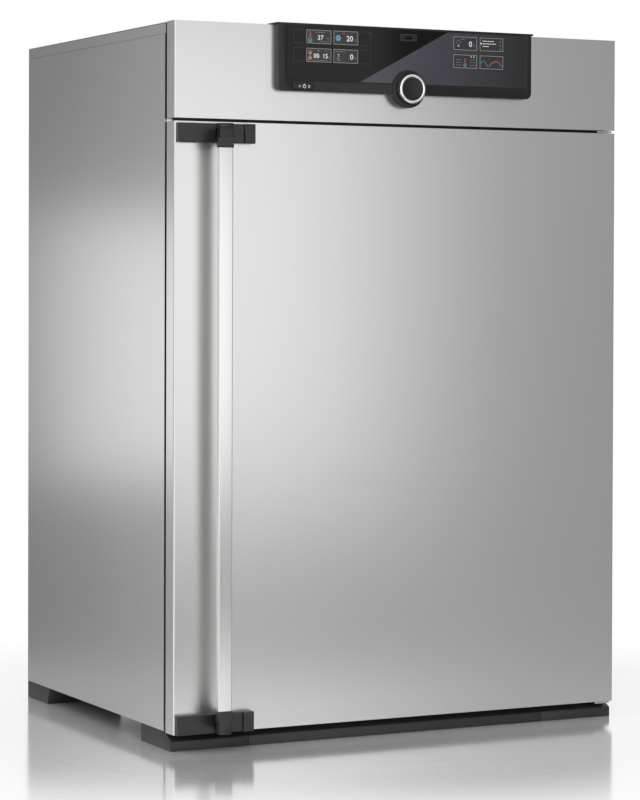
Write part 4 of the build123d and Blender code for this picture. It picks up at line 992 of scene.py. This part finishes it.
# %% [markdown]
# What the camera sees of the world is pure white, directly or through glass. The metal mirrors the
# world too, so for it the world is a dim room with soft bright fields: one overhead, one in front to the
# left and a faint one in front to the right. They give the steel its slow change of tone. One more field,
# behind the cabinet, is white in mirror-like reflections, above all the floor's.

# %% World
class WorldRecipe(Recipe):
    """The same tools for the world's own tree."""

    def __init__(self):
        world = bpy.data.worlds.new("studio")
        world.use_nodes = True
        bpy.context.scene.world = world
        self.tree = world.node_tree
        self.shader = self.tree.nodes["Background"]


def studio_world(ambient, backdrop, lobes):
    """A dim room with soft bright fields, and a white backdrop for the camera, gloss and glass."""
    recipe = WorldRecipe()
    direction = recipe.node("ShaderNodeTexCoord", output="Generated")

    def field(towards, wide, narrow, strength):
        """Light from one side: full within the narrow angle, none beyond the wide one."""
        inputs = {0: direction, 1: Vector(towards).normalized()}
        along = recipe.node("ShaderNodeVectorMath", {"operation": "DOT_PRODUCT"}, inputs, output="Value")
        edges = [math.cos(math.radians(angle)) for angle in (wide, narrow)]
        span = {"From Min": edges[0], "From Max": edges[1], "To Min": 0.0, "To Max": strength}
        rise = {"Value": along, **span}
        return recipe.node("ShaderNodeMapRange", {"interpolation_type": "SMOOTHSTEP"}, rise)

    glow = ambient
    for lobe in lobes:
        glow = field(*lobe) + glow
    gloss = recipe.node("ShaderNodeLightPath", output="Is Glossy Ray") * field(*backdrop)
    camera_ray = recipe.node("ShaderNodeLightPath", output="Is Camera Ray")
    through = recipe.node("ShaderNodeLightPath", output="Is Transmission Ray")
    white = camera_ray.math("MAXIMUM", through).math("MAXIMUM", gloss)
    recipe.set(Color=(1, 1, 1), Strength=white + (1 - white) * glow)


AMBIENT = 0.22
# Each field: its direction, the angles in degrees where it ends and where it is full, its strength
BACKDROP = ((0.55, 0.83, 0.1), 38, 18, 1.0)
OVERHEAD = ((0, 0, 1), 62, 30, 1.3)
LEFT_FRONT = ((-0.75, -0.65, 0.1), 50, 28, 1.2)
FRONT = ((0.5, -0.85, 0), 60, 20, 0.17)
studio_world(AMBIENT, BACKDROP, [OVERHEAD, LEFT_FRONT, FRONT])
print("world set with ambient light", AMBIENT)

# %% [markdown]
# Three square lamps add to the room: a wide one in front of the door, a small one to the left and behind
# that makes the bright patch on the side, and a large one farther out there. Satin steel mirrors a lamp
# as a soft patch, so its size matters as much as its power.

# %% Lamps
def lamp_panel(name, place, target, size, power):
    """A square soft lamp that looks at a point."""
    bpy.ops.object.light_add(type="AREA", location=place)
    made = bpy.context.object
    made.name = name
    made.data.size = size
    made.data.energy = power
    aim = Vector(target) - Vector(place)
    made.rotation_euler = aim.to_track_quat("-Z", "Y").to_euler()


# Each row: name, place, the point it looks at, size in metres, power in watts
lamps = [
    ("lamp_front", (0.3, -2.3, 0.84), (0.0, -0.3, 0.84), 1.35, 5.8),
    ("lamp_side", (-1.15, 1.15, 0.6), (-0.41, 0.0, 0.6), 0.58, 0.92),
    ("lamp_tall", (-1.95, 1.2, 0.65), (-0.41, 0.0, 0.65), 1.8, 4.0),
]
for row in lamps:
    lamp_panel(*row)

# %% [markdown]
# The camera stands where the photographer stood: four metres in front of the door and two to the left,
# two thirds up the cabinet, with a long lens. Its shift only frames the picture.

# %% Camera
CAMERA_PLACE = (-2.1712, -4.3139, 0.7623)
YAW = math.radians(26.876)
PITCH = math.radians(-0.8315)
ROLL = math.radians(0.179)
FOCAL_MM = 124.09
SENSOR_MM = 36.0
SHIFT = (-0.0046, -0.1098)
CLIP_END = 200

bpy.ops.object.camera_add(location=CAMERA_PLACE)
camera = bpy.context.object
camera.data.lens = FOCAL_MM
camera.data.sensor_width = SENSOR_MM
camera.data.shift_x, camera.data.shift_y = SHIFT
heading = Matrix.Rotation(-YAW, 4, "Z")
tilt = Matrix.Rotation(math.pi / 2 + PITCH, 4, "X")
roll = Matrix.Rotation(ROLL, 4, "Z")
turn = heading @ tilt @ roll
camera.matrix_world = Matrix.Translation(CAMERA_PLACE) @ turn
camera.data.clip_end = CLIP_END
bpy.context.scene.camera = camera
bpy.context.scene.view_settings.view_transform = "Standard"
print("camera at", CAMERA_PLACE)
